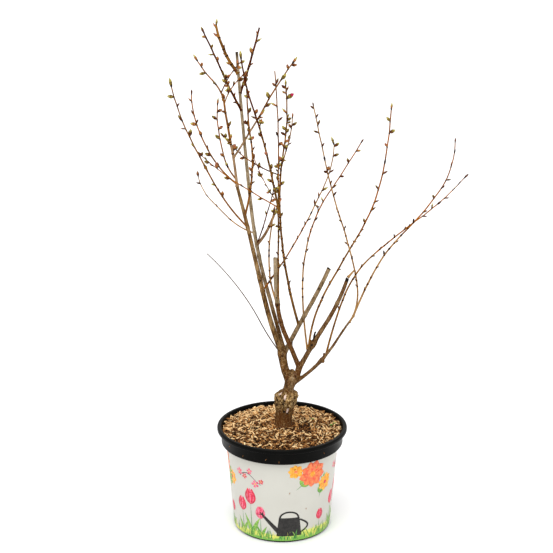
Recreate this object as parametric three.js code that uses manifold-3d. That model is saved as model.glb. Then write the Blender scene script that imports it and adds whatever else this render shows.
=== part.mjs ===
// A potted, grafted flowering cherry in swelling bud: a flanged round nursery pot with a printed sleeve,
// wood-chip mulch, a short grafted trunk, bare boughs and pruned stubs, and masses of budded twigs.
// Millimetres, +Z up, +X to the right, +Y to the back. The origin is the middle of the pot's underside.

import * as THREE from 'three';
import { mergeVertices } from 'three/addons/utils/BufferGeometryUtils.js';
import Module from 'manifold-3d';

const wasm = await Module();
wasm.setup();

// Clearance between two pieces that touch
const GAP = 0.3;

// Pot: a ten-litre container with a stepped band under a flat flange
const POT_HEIGHT = 229;
const FLANGE_RADIUS = 140;
const FLANGE_DEPTH = 9;
const FLANGE_MOUTH_RADIUS = 133;
const BAND_RADIUS = 131;
const BAND_BOTTOM = 192.5;
const BODY_TOP_RADIUS = 120;
const BASE_RADIUS = 104;
const BASE_CORNER = 3;
const POT_WALL = 2;
const POT_FLOOR = 3;
const EDGE_EASE = 1;
const FLANGE_LIP = 3;
const POT_SEGMENTS = 56;
const DRAIN_COUNT = 8;
const DRAIN_CIRCLE = 74;
const DRAIN_RADIUS = 7;
const DRAIN_SEGMENTS = 12;

// Printed sleeve round the pot's body
const SLEEVE_THICKNESS = 0.5;
const SLEEVE_BOTTOM = 4.5;
const SLEEVE_TOP = 191;

// Mulch: a low mound from the foot of the trunk to the pot's wall
const MULCH_SEAT_HEIGHT = 226;
const MULCH_SEAT_RADIUS = 26;
const MULCH_CREST_HEIGHT = 225;
const MULCH_CREST_RADIUS = 70;
const MULCH_EDGE_HEIGHT = 221;

// Trunk: height above the mulch and radius, from the flared foot over the graft knob to the fork
const TRUNK_FOOT = new THREE.Vector3(2, 0, MULCH_SEAT_HEIGHT + GAP);
const TRUNK_PATH = { length: 126, right: [5, 5, 8, 20, 8], back: [0] };
const TRUNK_PROFILE = [
  { height: 0, radius: 20.5 },
  { height: 6, radius: 18.5 },
  { height: 20, radius: 17.5 },
  { height: 36, radius: 18.5 },
  { height: 50, radius: 21 },
  { height: 66, radius: 25 },
  { height: 75, radius: 22.5 },
  { height: 81, radius: 15.5 },
  { height: 85, radius: 11.5 },
  { height: 95, radius: 12 },
  { height: 105, radius: 14 },
  { height: 113, radius: 13.5 },
  { height: 119, radius: 9.5 },
  { height: 126, radius: 6 },
];
const TRUNK_SIDES = 16;
const KNOB_HEIGHT = 62;
const KNOB_SPREAD = 22;
const KNOB_LOBES = [
  { count: 3, depth: 1.1, twist: 14 },
  { count: 5, depth: 0.7, twist: -9 },
];

// Limbs and shoots are followed in short steps from their root. A twig's three sides stand a little
// further out than its bark, so that it keeps its girth.
const STEP = 4;
const LIMB_SIDES = 8;
const LIMB_RING_SPACING = 24;
const SNAG_SIDES = 4;
const TWIG_SIDES = 3;
const TWIG_RING_SPACING = 45;
const TWIG_FULLNESS = 1.2;

// Buds: spaced along a shoot by a seeded rule, longer towards its tip
const MASS_SEED = 100;
const MASS_SEED_STEP = 17;
const BUD_SPACING = 30;
const FIRST_BUD = 0.5;
const BUD_SPACING_SPREAD = 0.35;
const BUD_TURN = 137.5;
const BUD_LEAN = 34;
const BUD_LENGTH = [7, 12.5];
const BUD_WIDTH_SHARE = 0.42;
const BUD_SUNK = 0.3;
const SPUR_LENGTH = 9;
const SPUR_THICKNESS = 2.2;
const SPUR_BUDS = 3;
const SPUR_SPREAD = 40;
const BUD_STANDOFF = 0.7;

// Points closer than WELD are one point, and detail finer than SIMPLER is smoothed out of a fused mass
const WELD = 1e-4;
const SIMPLER = 0.05;

// A limb is written as: what it grows from, where along that and how far to its side it starts, its
// length, its lean to the right and to the back in degrees at equal stations from root to tip, and its
// thickness at root and tip.
const LIMBS = {
  stem_left: { from: 'trunk', at: 108, side: -6, length: 65,
    right: [-25, -12, -4], back: [6], thick: [13.5, 15] },
  stem_right: { from: 'trunk', at: 106, side: 6, length: 40,
    right: [25, 10], back: [-8], thick: [11.5, 12] },
  bough_outer_left: { from: 'stem_left', at: 65, side: -2, length: 380,
    right: [-20, -12, -12, -14], back: [-8, -6, -4], thick: [10.8, 6] },
  bough_leader: { from: 'stem_left', at: 58, side: 6, length: 645,
    right: [-16, -15, -6, -5, -4], back: [12, 8, 4, 2], thick: [8, 4.4] },
  bough_crossing: { from: 'stem_right', at: 35, side: 0, length: 160,
    right: [-20, -22, -4], back: [-8, -4], thick: [7.6, 7.4] },
  bough_low_right: { from: 'trunk', at: 104, side: 8, length: 205,
    right: [55, 40, 28, 32], back: [-10, -12, -14], thick: [7, 4.2] },
  stub_inner_right: { from: 'stem_left', at: 60, side: 6, length: 205,
    right: [26, 30, 25], back: [6, 10, 14], thick: [9.6, 7.8] },
  stub_outer_right: { from: 'stem_right', at: 35, side: 1, length: 225,
    right: [26, 31, 17], back: [-4, 2], thick: [10.4, 6.4] },
  stub_upright: { from: 'bough_crossing', at: 160, side: 0, length: 95,
    right: [-5, 0], back: [5], thick: [6.8, 6.4] },
};

// Limbs and masses that stand close beside an earlier limb at their root are cut clear of it
const BESIDE = {
  bough_leader: ['bough_outer_left'],
  stub_inner_right: ['bough_outer_left', 'bough_leader'],
  stub_outer_right: ['bough_crossing'],
  stem_right: ['stem_left'],
  bough_low_right: ['stem_right'],
  twigs_centre: ['stub_upright'],
  twigs_centre_left: ['stub_upright'],
  twig_dead_wire: ['bough_outer_left'],
};

// Short dead snags that stay on a bough
const SNAGS = {
  bough_crossing: { at: 52, side: 2.5, length: 14, right: [6], back: [-14], thick: [3, 2] },
  stub_outer_right: { at: 68, side: 1, length: 19, right: [0], back: [-12], thick: [2.6, 1.8] },
};

// Shoots, written like limbs. The first shoot named for a mass is its stem; the others branch from it.
// "bare" is the length of root end without buds, and "spurs" is the share of nodes with a bud spur.
const SHOOTS = {
  outer_left: { mass: 'twigs_outer_left', from: 'bough_outer_left', at: 380, length: 180,
    right: [-5, -10, -7], back: [-4, 0], thick: [5.6, 4], bare: 60, spurs: 0.1 },
  outer_left_low: { mass: 'twigs_outer_left', from: 'outer_left', at: 5, length: 220,
    right: [-50, -30, -18, 0], back: [-16, -10], thick: [2.8, 1.8], bare: 40, spurs: 0 },
  outer_left_back: { mass: 'twigs_outer_left', from: 'outer_left', at: 15, length: 160,
    right: [-45, -15, -10, 5], back: [22, 14], thick: [2.6, 1.8], bare: 20, spurs: 0 },
  outer_left_diagonal: { mass: 'twigs_outer_left', from: 'outer_left', at: 60, length: 225,
    right: [35, 30, 37], back: [18, 12], thick: [2.8, 1.8], bare: 30, spurs: 0.2 },
  outer_left_fork: { mass: 'twigs_outer_left', from: 'outer_left', at: 178, length: 100,
    right: [-12, -42, -30], back: [-14, -10], thick: [3.2, 2], bare: 12, spurs: 0.2 },
  outer_left_fork_side: { mass: 'twigs_outer_left', from: 'outer_left_fork', at: 18, length: 70,
    right: [25, 30, 45], back: [16, 10], thick: [2.2, 1.7], bare: 12, spurs: 0.3 },
  outer_left_end: { mass: 'twigs_outer_left', from: 'outer_left', at: 172, length: 70,
    right: [18, 35, 48], back: [12, 14], thick: [2.2, 1.7], bare: 14, spurs: 0.3 },
  far_left: { mass: 'twigs_far_left', from: 'bough_outer_left', at: 290, length: 375,
    right: [-40, -25, -22, -10], back: [-26, -22], thick: [3, 1.8], bare: 70, spurs: 0 },
  low_left: { mass: 'twigs_low_left', from: 'bough_leader', at: 265, length: 175,
    right: [-75, -50, -45, -15], back: [24, 20], thick: [2.6, 1.7], bare: 40, spurs: 0 },
  inner_left: { mass: 'twigs_inner_left', from: 'bough_outer_left', at: 315, length: 265,
    right: [15, 5, -8, 0], back: [-14, -8, -2], thick: [3, 1.9], bare: 50, spurs: 0.15 },
  across: { mass: 'twigs_across', from: 'bough_outer_left', at: 145, length: 345,
    right: [40, 34, 28, 24, 2], back: [26, 16, 10, 8], thick: [2.8, 1.8], bare: 20, spurs: 0.1 },
  leader_front: { mass: 'twigs_leader_side', from: 'bough_leader', at: 240, length: 130,
    right: [20, 15, 14], back: [-14, -8], thick: [2.6, 1.8], bare: 30, spurs: 0 },
  leader_back: { mass: 'twigs_leader_side', from: 'bough_leader', at: 240, length: 85,
    right: [45, 25, 22], back: [8, 6], thick: [3.4, 2.6], bare: 20, spurs: 0 },
  top_right: { mass: 'twigs_top_right', from: 'bough_leader', at: 560, length: 140,
    right: [20, 14], back: [14, 8], thick: [2.8, 1.8], bare: 10, spurs: 0.25 },
  top_left: { mass: 'twigs_top_left', from: 'bough_leader', at: 525, length: 185,
    right: [-28, -22, -24], back: [-16, -12], thick: [3.2, 2], bare: 24, spurs: 0.15 },
  top_middle: { mass: 'twigs_top_middle', from: 'bough_leader', at: 600, length: 110,
    right: [-40, -25, -12], back: [16, 10], thick: [2.6, 1.8], bare: 12, spurs: 0.2 },
  centre: { mass: 'twigs_centre', from: 'bough_crossing', at: 160, side: 2, length: 500,
    right: [0, 0, 0, -5], back: [-16, -8, -6, -4], thick: [4.2, 2.4], bare: 80, spurs: 0.15 },
  centre_curved: { mass: 'twigs_centre', from: 'centre', at: 215, length: 325,
    right: [-10, -12, -18, -8], back: [-12, -8], thick: [3.4, 2.2], bare: 30, spurs: 0.25 },
  centre_reach: { mass: 'twigs_centre', from: 'centre', at: 218, length: 190,
    right: [-58, -56, -45], back: [-14, -8], thick: [2.4, 1.5], bare: 20, spurs: 0 },
  centre_left: { mass: 'twigs_centre_left', from: 'bough_crossing', at: 160, side: -2, length: 195,
    right: [-20, -5, 5, 10], back: [4, 0], thick: [3.2, 2.2], bare: 30, spurs: 0 },
  centre_right: { mass: 'twigs_centre_right', from: 'stub_inner_right', at: 65, length: 520,
    right: [-16, -9, -2, 9, -6], back: [-2, -4, 2], thick: [4.6, 2.2], bare: 60, spurs: 0.35 },
  centre_right_back: { mass: 'twigs_centre_right', from: 'centre_right', at: 355, length: 100,
    right: [18, 16, 2], back: [14, 10], thick: [2.2, 1.7], bare: 10, spurs: 0.4 },
  centre_right_inner: { mass: 'twigs_centre_right', from: 'centre_right', at: 270, length: 115,
    right: [-38, -28, -20], back: [14, 10], thick: [2.4, 1.6], bare: 16, spurs: 0.2 },
  centre_right_reach: { mass: 'twigs_centre_right', from: 'centre_right', at: 335, length: 145,
    right: [-70, -54, -36], back: [-20, -12], thick: [2.4, 1.6], bare: 16, spurs: 0.1 },
  back_right: { mass: 'twigs_back_right', from: 'stub_outer_right', at: 45, side: -5, length: 480,
    right: [-9, -2, 15, 36, 32], back: [40, 24, 20, 16], thick: [3.4, 2], bare: 110, spurs: 0.1 },
  right: { mass: 'twigs_right', from: 'stub_outer_right', at: 52, side: -5, length: 570,
    right: [4, 26, 27, 9, 1], back: [-8, -14, -14], thick: [4, 2.2], bare: 90, spurs: 0.1 },
  far_right: { mass: 'twigs_far_right', from: 'bough_low_right', at: 95, length: 495,
    right: [15, 22, 52, 55, 43], back: [24, 20, 16], thick: [4, 1.8], bare: 90, spurs: 0 },
  outer_right: { mass: 'twigs_outer_right', from: 'bough_low_right', at: 205, length: 440,
    right: [18, 24, 42, 32, -2], back: [-12, -10, -6], thick: [3.9, 1.8], bare: 60, spurs: 0 },
  outer_right_snag: { mass: 'twigs_outer_right', from: 'outer_right', at: 65, length: 25,
    right: [25], back: [-10], thick: [1.6, 1.2], bare: 25, spurs: 0 },
  front_right: { mass: 'twigs_front_right', from: 'bough_low_right', at: 190, side: 1, length: 520,
    right: [22, -12, -18, -12, -12], back: [-40, -8, -12, -16, -20],
    thick: [3.4, 2], bare: 80, spurs: 0.1 },
  dead_wire: { mass: 'twig_dead_wire', from: 'stem_left', at: 60, side: -4, length: 290,
    right: [-32, -24, -34, -44], back: [-20, -10], thick: [1.8, 1.2], bare: 290, spurs: 0 },
  stub_end: { mass: 'twig_stub_end', from: 'stub_outer_right', at: 225, length: 20,
    right: [42], back: [10], thick: [2, 1.4], bare: 20, spurs: 0 },
};

// Finishes
const FINISHES = {
  pot: { color: 0x17181a, roughness: 0.42, metalness: 0 },
  label_sleeve: { color: 0xf0efec, roughness: 0.35, metalness: 0 },
  mulch: { color: 0xb98a55, roughness: 0.95, metalness: 0 },
  bark: { color: 0x85705a, roughness: 0.8, metalness: 0 },
  stub: { color: 0x8c8070, roughness: 0.85, metalness: 0 },
  twig: { color: 0x7a5636, roughness: 0.6, metalness: 0 },
};

function radians(degrees) {
  return THREE.MathUtils.degToRad(degrees);
}

// A repeatable stream of numbers between 0 and 1
function seeded(seed) {
  let state = seed;
  return () => {
    state = (state * 16807) % 2147483647;
    return state / 2147483647;
  };
}

// The value at share u of a list of values at equal stations
function stationed(values, u) {
  if (values.length === 1) {
    return values[0];
  }
  const place = THREE.MathUtils.clamp(u, 0, 1) * (values.length - 1);
  const index = Math.min(Math.floor(place), values.length - 2);
  return THREE.MathUtils.lerp(values[index], values[index + 1], place - index);
}

// The points that a limb passes through from its root
function follow(start, limb) {
  const count = Math.ceil(limb.length / STEP);
  const points = [start.clone()];
  for (let i = 0; i < count; i += 1) {
    const u = (i + 0.5) / count;
    const right = Math.tan(radians(stationed(limb.right, u)));
    const back = Math.tan(radians(stationed(limb.back, u)));
    const heading = new THREE.Vector3(right, back, 1).normalize();
    points.push(points[i].clone().addScaledVector(heading, limb.length / count));
  }
  return { points, length: limb.length };
}

// The point at a distance along a path, which runs on straight past its ends
function pointAt(path, distance) {
  const place = (distance / path.length) * (path.points.length - 1);
  const index = THREE.MathUtils.clamp(Math.floor(place), 0, path.points.length - 2);
  return path.points[index].clone().lerp(path.points[index + 1], place - index);
}

function headingAt(path, distance) {
  const ahead = pointAt(path, distance + STEP);
  return ahead.sub(pointAt(path, distance - STEP)).normalize();
}

// Two directions square to a heading, the first as near as can be to the viewer's right
function acrossHeading(heading) {
  const first = new THREE.Vector3(1, 0, 0).projectOnPlane(heading).normalize();
  const second = new THREE.Vector3().crossVectors(heading, first);
  return [first, second];
}

// A closed skin over a run of rings of points, with flat ends
function skinOf(rings) {
  const sides = rings[0].length;
  const positions = [];
  for (const ring of rings) {
    for (const point of ring) {
      positions.push(point.x, point.y, point.z);
    }
  }
  const indices = [];
  for (let i = 0; i + 1 < rings.length; i += 1) {
    for (let j = 0; j < sides; j += 1) {
      const a = i * sides + j;
      const b = i * sides + ((j + 1) % sides);
      indices.push(a, b, b + sides, a, b + sides, a + sides);
    }
  }
  const last = (rings.length - 1) * sides;
  for (let j = 1; j + 1 < sides; j += 1) {
    indices.push(0, j + 1, j);
    indices.push(last, last + j, last + j + 1);
  }
  const geometry = new THREE.BufferGeometry();
  geometry.setAttribute('position', new THREE.Float32BufferAttribute(positions, 3));
  geometry.setIndex(indices);
  return geometry;
}

// A round limb along a path, larger all over by "extra" for cutting its neighbours clear of it. Its rings
// lie level or square to the path.
function limbSkin(path, radiusAt, sides, distances, extra, level = false) {
  const rings = distances.map((distance, i) => {
    const beyond = i === 0 ? -extra : extra * Number(i === distances.length - 1);
    const centre = pointAt(path, distance + beyond);
    const heading = level ? new THREE.Vector3(0, 0, 1) : headingAt(path, distance);
    const [first, second] = acrossHeading(heading);
    const ring = [];
    for (let j = 0; j < sides; j += 1) {
      const angle = (2 * Math.PI * j) / sides;
      const radius = radiusAt(distance, angle) + extra;
      ring.push(centre.clone()
        .addScaledVector(first, radius * Math.cos(angle))
        .addScaledVector(second, radius * Math.sin(angle)));
    }
    return ring;
  });
  return skinOf(rings);
}

function solidOf(geometry) {
  const bare = geometry.clone();
  bare.deleteAttribute('normal');
  bare.deleteAttribute('uv');
  const merged = mergeVertices(bare, WELD);
  return new wasm.Manifold(new wasm.Mesh({
    numProp: 3,
    vertProperties: new Float32Array(merged.attributes.position.array),
    triVerts: new Uint32Array(merged.index.array),
  }));
}

function geometryOf(solid) {
  const mesh = solid.getMesh();
  const geometry = new THREE.BufferGeometry();
  geometry.setAttribute('position', new THREE.BufferAttribute(new Float32Array(mesh.vertProperties), 3));
  geometry.setIndex(new THREE.BufferAttribute(new Uint32Array(mesh.triVerts), 1));
  geometry.computeVertexNormals();
  return geometry;
}

// The largest single body of a solid that a cut may have left in several
function largestBody(solid) {
  const bodies = solid.decompose();
  bodies.sort((a, b) => b.volume() - a.volume());
  return bodies[0];
}

function evenly(length, spacing) {
  const count = Math.max(Math.round(length / spacing), 1);
  return Array.from({ length: count + 1 }, (unused, i) => (length * i) / count);
}

// A turned shape from an outline of [radius, height] points that closes on the axis or on itself
function turned(outline) {
  const points = outline.map(([radius, height]) => new THREE.Vector2(radius, height));
  const geometry = new THREE.LatheGeometry(points, POT_SEGMENTS);
  geometry.rotateX(Math.PI / 2);
  return solidOf(geometry);
}

// Pot: one turned shell, with drain holes through its floor
function buildPot() {
  const flangeBottom = POT_HEIGHT - FLANGE_DEPTH;
  let pot = turned([
    [0, 0],
    [BASE_RADIUS - BASE_CORNER, 0],
    [BASE_RADIUS, BASE_CORNER],
    [BODY_TOP_RADIUS, BAND_BOTTOM],
    [BAND_RADIUS - EDGE_EASE, BAND_BOTTOM],
    [BAND_RADIUS, BAND_BOTTOM + EDGE_EASE],
    [BAND_RADIUS, flangeBottom],
    [FLANGE_RADIUS - EDGE_EASE, flangeBottom],
    [FLANGE_RADIUS, flangeBottom + EDGE_EASE],
    [FLANGE_RADIUS, POT_HEIGHT - FLANGE_LIP],
    [FLANGE_RADIUS - FLANGE_LIP, POT_HEIGHT],
    [FLANGE_MOUTH_RADIUS, POT_HEIGHT],
    [BAND_RADIUS - POT_WALL, flangeBottom],
    [BAND_RADIUS - POT_WALL, BAND_BOTTOM + POT_WALL],
    [BODY_TOP_RADIUS - POT_WALL, BAND_BOTTOM + POT_WALL],
    [BASE_RADIUS - POT_WALL, POT_FLOOR + POT_WALL],
    [BASE_RADIUS - BASE_CORNER, POT_FLOOR],
    [0, POT_FLOOR],
  ]);
  for (let i = 0; i < DRAIN_COUNT; i += 1) {
    const angle = (2 * Math.PI * (i + 0.5)) / DRAIN_COUNT;
    const hole = new THREE.CylinderGeometry(DRAIN_RADIUS, DRAIN_RADIUS, 4 * POT_FLOOR, DRAIN_SEGMENTS);
    hole.rotateX(Math.PI / 2);
    hole.translate(DRAIN_CIRCLE * Math.cos(angle), DRAIN_CIRCLE * Math.sin(angle), 0);
    pot = pot.subtract(solidOf(hole));
  }
  return pot;
}

function bodyRadiusAt(height) {
  const share = (height - BASE_CORNER) / (BAND_BOTTOM - BASE_CORNER);
  return THREE.MathUtils.lerp(BASE_RADIUS, BODY_TOP_RADIUS, share);
}

function buildSleeve() {
  const bottomRadius = bodyRadiusAt(SLEEVE_BOTTOM) + GAP;
  const topRadius = bodyRadiusAt(SLEEVE_TOP) + GAP;
  return turned([
    [bottomRadius, SLEEVE_BOTTOM],
    [bottomRadius + SLEEVE_THICKNESS, SLEEVE_BOTTOM],
    [topRadius + SLEEVE_THICKNESS, SLEEVE_TOP],
    [topRadius, SLEEVE_TOP],
    [bottomRadius, SLEEVE_BOTTOM],
  ]);
}

// Mulch and soil: one fill that follows the inside of the pot
function buildMulch() {
  const clear = POT_WALL + GAP;
  const floor = POT_FLOOR + GAP;
  const ledge = BAND_BOTTOM + POT_WALL + GAP;
  return turned([
    [0, floor],
    [BASE_RADIUS - BASE_CORNER - GAP, floor],
    [BASE_RADIUS - clear, floor + POT_WALL],
    [BODY_TOP_RADIUS - clear, ledge],
    [BAND_RADIUS - clear, ledge],
    [BAND_RADIUS - clear, MULCH_EDGE_HEIGHT],
    [MULCH_CREST_RADIUS, MULCH_CREST_HEIGHT],
    [MULCH_SEAT_RADIUS, MULCH_SEAT_HEIGHT],
    [0, MULCH_SEAT_HEIGHT],
  ]);
}

// The trunk's radius at a height above its foot, with the lobes of the graft knob
function trunkRadius(distance, angle) {
  const next = Math.max(TRUNK_PROFILE.findIndex((station) => station.height >= distance), 1);
  const upper = TRUNK_PROFILE[next];
  const lower = TRUNK_PROFILE[next - 1];
  const share = (distance - lower.height) / (upper.height - lower.height);
  const radius = THREE.MathUtils.lerp(lower.radius, upper.radius, share);
  const swell = Math.exp(-(((distance - KNOB_HEIGHT) / KNOB_SPREAD) ** 2));
  const lobes = KNOB_LOBES.map((lobe) => lobe.depth * Math.cos(lobe.count * angle + distance / lobe.twist));
  return radius + swell * lobes.reduce((sum, lobe) => sum + lobe, 0);
}

// Where each limb or shoot starts, worked out from what it grows from
const paths = { trunk: follow(TRUNK_FOOT, TRUNK_PATH) };

function pathOf(name, record) {
  const parent = paths[record.from];
  const start = pointAt(parent, record.at);
  const heading = headingAt(parent, record.at);
  const [sideways] = acrossHeading(heading);
  start.addScaledVector(sideways, record.side ?? 0);
  if (record.at >= parent.length) {
    start.addScaledVector(heading, GAP);
  }
  paths[name] = follow(start, record);
  return paths[name];
}

function taper(record) {
  return (distance) => THREE.MathUtils.lerp(record.thick[0], record.thick[1], distance / record.length) / 2;
}

function limbSolid(name, extra) {
  if (name === 'trunk') {
    const distances = TRUNK_PROFILE.map((station) => station.height);
    return solidOf(limbSkin(paths.trunk, trunkRadius, TRUNK_SIDES, distances, extra, true));
  }
  const record = LIMBS[name];
  const distances = evenly(record.length, LIMB_RING_SPACING);
  return solidOf(limbSkin(paths[name], taper(record), LIMB_SIDES, distances, extra));
}

// A limb, with its snag if it has one, cut clear of what it grows from and stands beside
function buildLimb(name) {
  const record = LIMBS[name];
  pathOf(name, record);
  let limb = limbSolid(name, 0);
  const snag = SNAGS[name];
  if (snag) {
    const path = pathOf(`${name}_snag`, { ...snag, from: name });
    limb = limb.add(solidOf(limbSkin(path, taper(snag), SNAG_SIDES, [0, snag.length], 0)));
  }
  return cutClear(limb, [record.from, ...(BESIDE[name] ?? [])]);
}

function cutClear(solid, neighbours) {
  let cut = solid;
  for (const neighbour of neighbours) {
    cut = cut.subtract(limbSolid(neighbour, GAP / Math.cos(Math.PI / LIMB_SIDES)));
  }
  return largestBody(cut);
}

// The nodes of a shoot from its tip down to its bare root end, each turned on from the last
function nodesOf(record, random) {
  const nodes = [];
  let turn = 360 * random();
  let distance = record.length - BUD_SPACING * (FIRST_BUD + random());
  while (distance > record.bare) {
    nodes.push({ distance, turn, size: random(), spur: random() < record.spurs });
    turn += BUD_TURN;
    distance -= BUD_SPACING * (1 + BUD_SPACING_SPREAD * (2 * random() - 1));
  }
  return nodes.reverse();
}

// A bud: a slim eight-faced body with its root sunk into what it grows on
function budSolid(root, heading, length) {
  const half = length / 2;
  const bud = new THREE.OctahedronGeometry(1, 0);
  bud.scale(half * BUD_WIDTH_SHARE, half * BUD_WIDTH_SHARE, half);
  bud.applyQuaternion(new THREE.Quaternion().setFromUnitVectors(new THREE.Vector3(0, 0, 1), heading));
  const centre = root.clone().addScaledVector(heading, half * (1 - BUD_SUNK));
  bud.translate(centre.x, centre.y, centre.z);
  return solidOf(bud);
}

function leaning(heading, turn, lean) {
  const [first, second] = acrossHeading(heading);
  return heading.clone().multiplyScalar(Math.cos(radians(lean)))
    .addScaledVector(first, Math.sin(radians(lean)) * Math.cos(radians(turn)))
    .addScaledVector(second, Math.sin(radians(lean)) * Math.sin(radians(turn)));
}

function budLength(record, node) {
  const share = (node.distance / record.length + node.size) / 2;
  return THREE.MathUtils.lerp(BUD_LENGTH[0], BUD_LENGTH[1], share);
}

// A spur: a short straight stalk that ends in a spread of buds
function spurSolids(root, heading, length) {
  const end = root.clone().addScaledVector(heading, SPUR_LENGTH);
  const stalk = { points: [root, end], length: SPUR_LENGTH };
  const radiusAt = () => SPUR_THICKNESS / 2;
  const solids = [solidOf(limbSkin(stalk, radiusAt, TWIG_SIDES, [0, SPUR_LENGTH], 0))];
  for (let i = 0; i < SPUR_BUDS; i += 1) {
    const lean = i === 0 ? 0 : SPUR_SPREAD;
    solids.push(budSolid(end, leaning(heading, (360 * i) / (SPUR_BUDS - 1), lean), length));
  }
  return solids;
}

// A shoot: a three-sided stem with a bud or a spur at each node and a bud on its tip
function shootSolids(name, record, random) {
  const path = pathOf(name, record);
  const nodes = nodesOf(record, random);
  const bareRings = evenly(Math.min(record.bare, record.length), TWIG_RING_SPACING);
  const distances = [...bareRings, ...nodes.map((node) => node.distance), record.length];
  const rings = [...new Set(distances)].sort((a, b) => a - b)
    .filter((distance, i, all) => i === 0 || distance - all[i - 1] > STEP || distance === record.length);
  const solids = [];
  for (const node of nodes) {
    const heading = headingAt(path, node.distance);
    const out = leaning(heading, node.turn, BUD_LEAN);
    const root = pointAt(path, node.distance);
    if (node.spur) {
      solids.push(...spurSolids(root, out, budLength(record, node)));
    } else {
      solids.push(budSolid(root.addScaledVector(out, BUD_STANDOFF), out, budLength(record, node)));
    }
  }
  if (record.bare < record.length) {
    solids.push(budSolid(pointAt(path, record.length), headingAt(path, record.length), BUD_LENGTH[1]));
  }
  const fuller = (distance) => TWIG_FULLNESS * taper(record)(distance);
  solids.unshift(solidOf(limbSkin(path, fuller, TWIG_SIDES, rings, 0)));
  return solids;
}

// A mass of twigs: its shoots fused into one, cut clear of the limb that its stem grows from
function buildMass(mass, seed) {
  const random = seeded(seed);
  const members = Object.entries(SHOOTS).filter(([, record]) => record.mass === mass);
  const stem = members[0][1];
  const solids = members.flatMap(([name, record]) => shootSolids(name, record, random));
  const fused = wasm.Manifold.union(solids);
  return cutClear(fused.simplify(SIMPLER), [stem.from, ...(BESIDE[mass] ?? [])]);
}

const group = new THREE.Group();

function place(name, solid, finish) {
  const mesh = new THREE.Mesh(geometryOf(solid), new THREE.MeshStandardMaterial(FINISHES[finish]));
  mesh.name = name;
  group.add(mesh);
}

place('pot', buildPot(), 'pot');
place('label_sleeve', buildSleeve(), 'label_sleeve');
place('mulch', buildMulch(), 'mulch');
place('trunk', limbSolid('trunk', 0), 'bark');
for (const name of Object.keys(LIMBS)) {
  place(name, buildLimb(name), name.startsWith('stub') ? 'stub' : 'bark');
}
const masses = [...new Set(Object.values(SHOOTS).map((record) => record.mass))];
masses.forEach((mass, i) => {
  place(mass, buildMass(mass, MASS_SEED + MASS_SEED_STEP * i), 'twig');
});

export default group;
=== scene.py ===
"""Looks of a potted, grafted flowering cherry in swelling bud.

Sizes are named in millimetres, as in the part's source, and turned into metres when a mesh is made.
+Z is up, +X to the viewer's right and +Y to the back. The origin is the middle of the pot's underside.
"""

import logging
import math
from collections.abc import Sequence
from dataclasses import dataclass, field
from enum import Enum
from typing import ClassVar

import bpy
import numpy as np
from bpy.types import Material, Mesh, NodeSocket, Object
from mathutils import Euler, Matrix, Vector, noise


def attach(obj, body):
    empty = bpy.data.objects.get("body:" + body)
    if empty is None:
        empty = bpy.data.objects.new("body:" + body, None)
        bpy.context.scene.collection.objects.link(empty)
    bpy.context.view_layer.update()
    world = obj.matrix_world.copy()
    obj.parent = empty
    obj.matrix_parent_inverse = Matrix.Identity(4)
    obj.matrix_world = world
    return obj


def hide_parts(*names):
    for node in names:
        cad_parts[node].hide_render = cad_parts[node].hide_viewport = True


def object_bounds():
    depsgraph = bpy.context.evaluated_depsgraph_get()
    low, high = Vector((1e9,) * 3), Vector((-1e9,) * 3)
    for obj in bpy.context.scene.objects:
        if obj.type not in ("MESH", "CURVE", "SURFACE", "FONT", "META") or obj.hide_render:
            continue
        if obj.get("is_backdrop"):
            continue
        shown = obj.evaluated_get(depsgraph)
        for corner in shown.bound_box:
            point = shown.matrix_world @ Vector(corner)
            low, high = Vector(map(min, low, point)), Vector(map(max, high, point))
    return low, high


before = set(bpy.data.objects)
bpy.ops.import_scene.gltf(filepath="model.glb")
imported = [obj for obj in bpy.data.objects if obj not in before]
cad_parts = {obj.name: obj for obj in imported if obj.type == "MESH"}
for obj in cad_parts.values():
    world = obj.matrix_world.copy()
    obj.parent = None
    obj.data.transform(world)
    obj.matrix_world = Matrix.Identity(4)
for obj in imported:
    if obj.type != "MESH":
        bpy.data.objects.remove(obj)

LOG = logging.getLogger("scene")
MM = 0.001
GAP = 0.3
STEP = 4.0
BODY = "root"
RIGHT = np.array([1.0, 0.0, 0.0])
UP = np.array([0.0, 0.0, 1.0])
EVEN = (1.0, 1.0, 1.0)

# Pot and mulch sizes that several pieces share
POT_HEIGHT = 229.0
BAND_RADIUS = 131.0
BAND_BOTTOM = 192.5
BODY_TOP_RADIUS = 120.0
BASE_RADIUS = 104.0
BASE_CORNER = 3.0
POT_WALL = 2.0
POT_FLOOR = 3.0
MULCH_SEAT_HEIGHT = 226.0
MULCH_CREST_HEIGHT = 225.0
MULCH_CREST_RADIUS = 70.0
MULCH_EDGE_HEIGHT = 221.0

Array = np.ndarray
Colour = tuple[float, float, float, float]
Pair = tuple[float, float]
Place = tuple[float, float, float]
Faces = list[list[int]]
Shape = tuple[Array, Faces]


def tone(red: int, green: int, blue: int) -> Colour:
    """Turns a screen colour into the linear colour that a shader takes.

    Args:
        red: Red from 0 to 255.
        green: Green from 0 to 255.
        blue: Blue from 0 to 255.

    Returns:
        The linear colour, opaque.
    """
    full, knee, slope, lift, bend = 255.0, 0.04045, 12.92, 0.055, 2.4
    shares = [value / full for value in (red, green, blue)]
    linear = [share / slope if share <= knee else ((share + lift) / (1.0 + lift)) ** bend for share in shares]
    return (*linear, 1.0)


class Palette(Enum):
    """Colours of one kind of finish, light and deep on the screen, in the order of a piece's materials."""

    @property
    def slot(self) -> int:
        """Gives the index of the material."""
        return list(type(self)).index(self)

    @property
    def title(self) -> str:
        """Gives the colour's name as a material's name has it."""
        return self.name.lower()

    def tones(self) -> tuple[Colour, Colour]:
        """Gives the light and the deep colour."""
        return tone(*self.value[0]), tone(*self.value[1])


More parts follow.
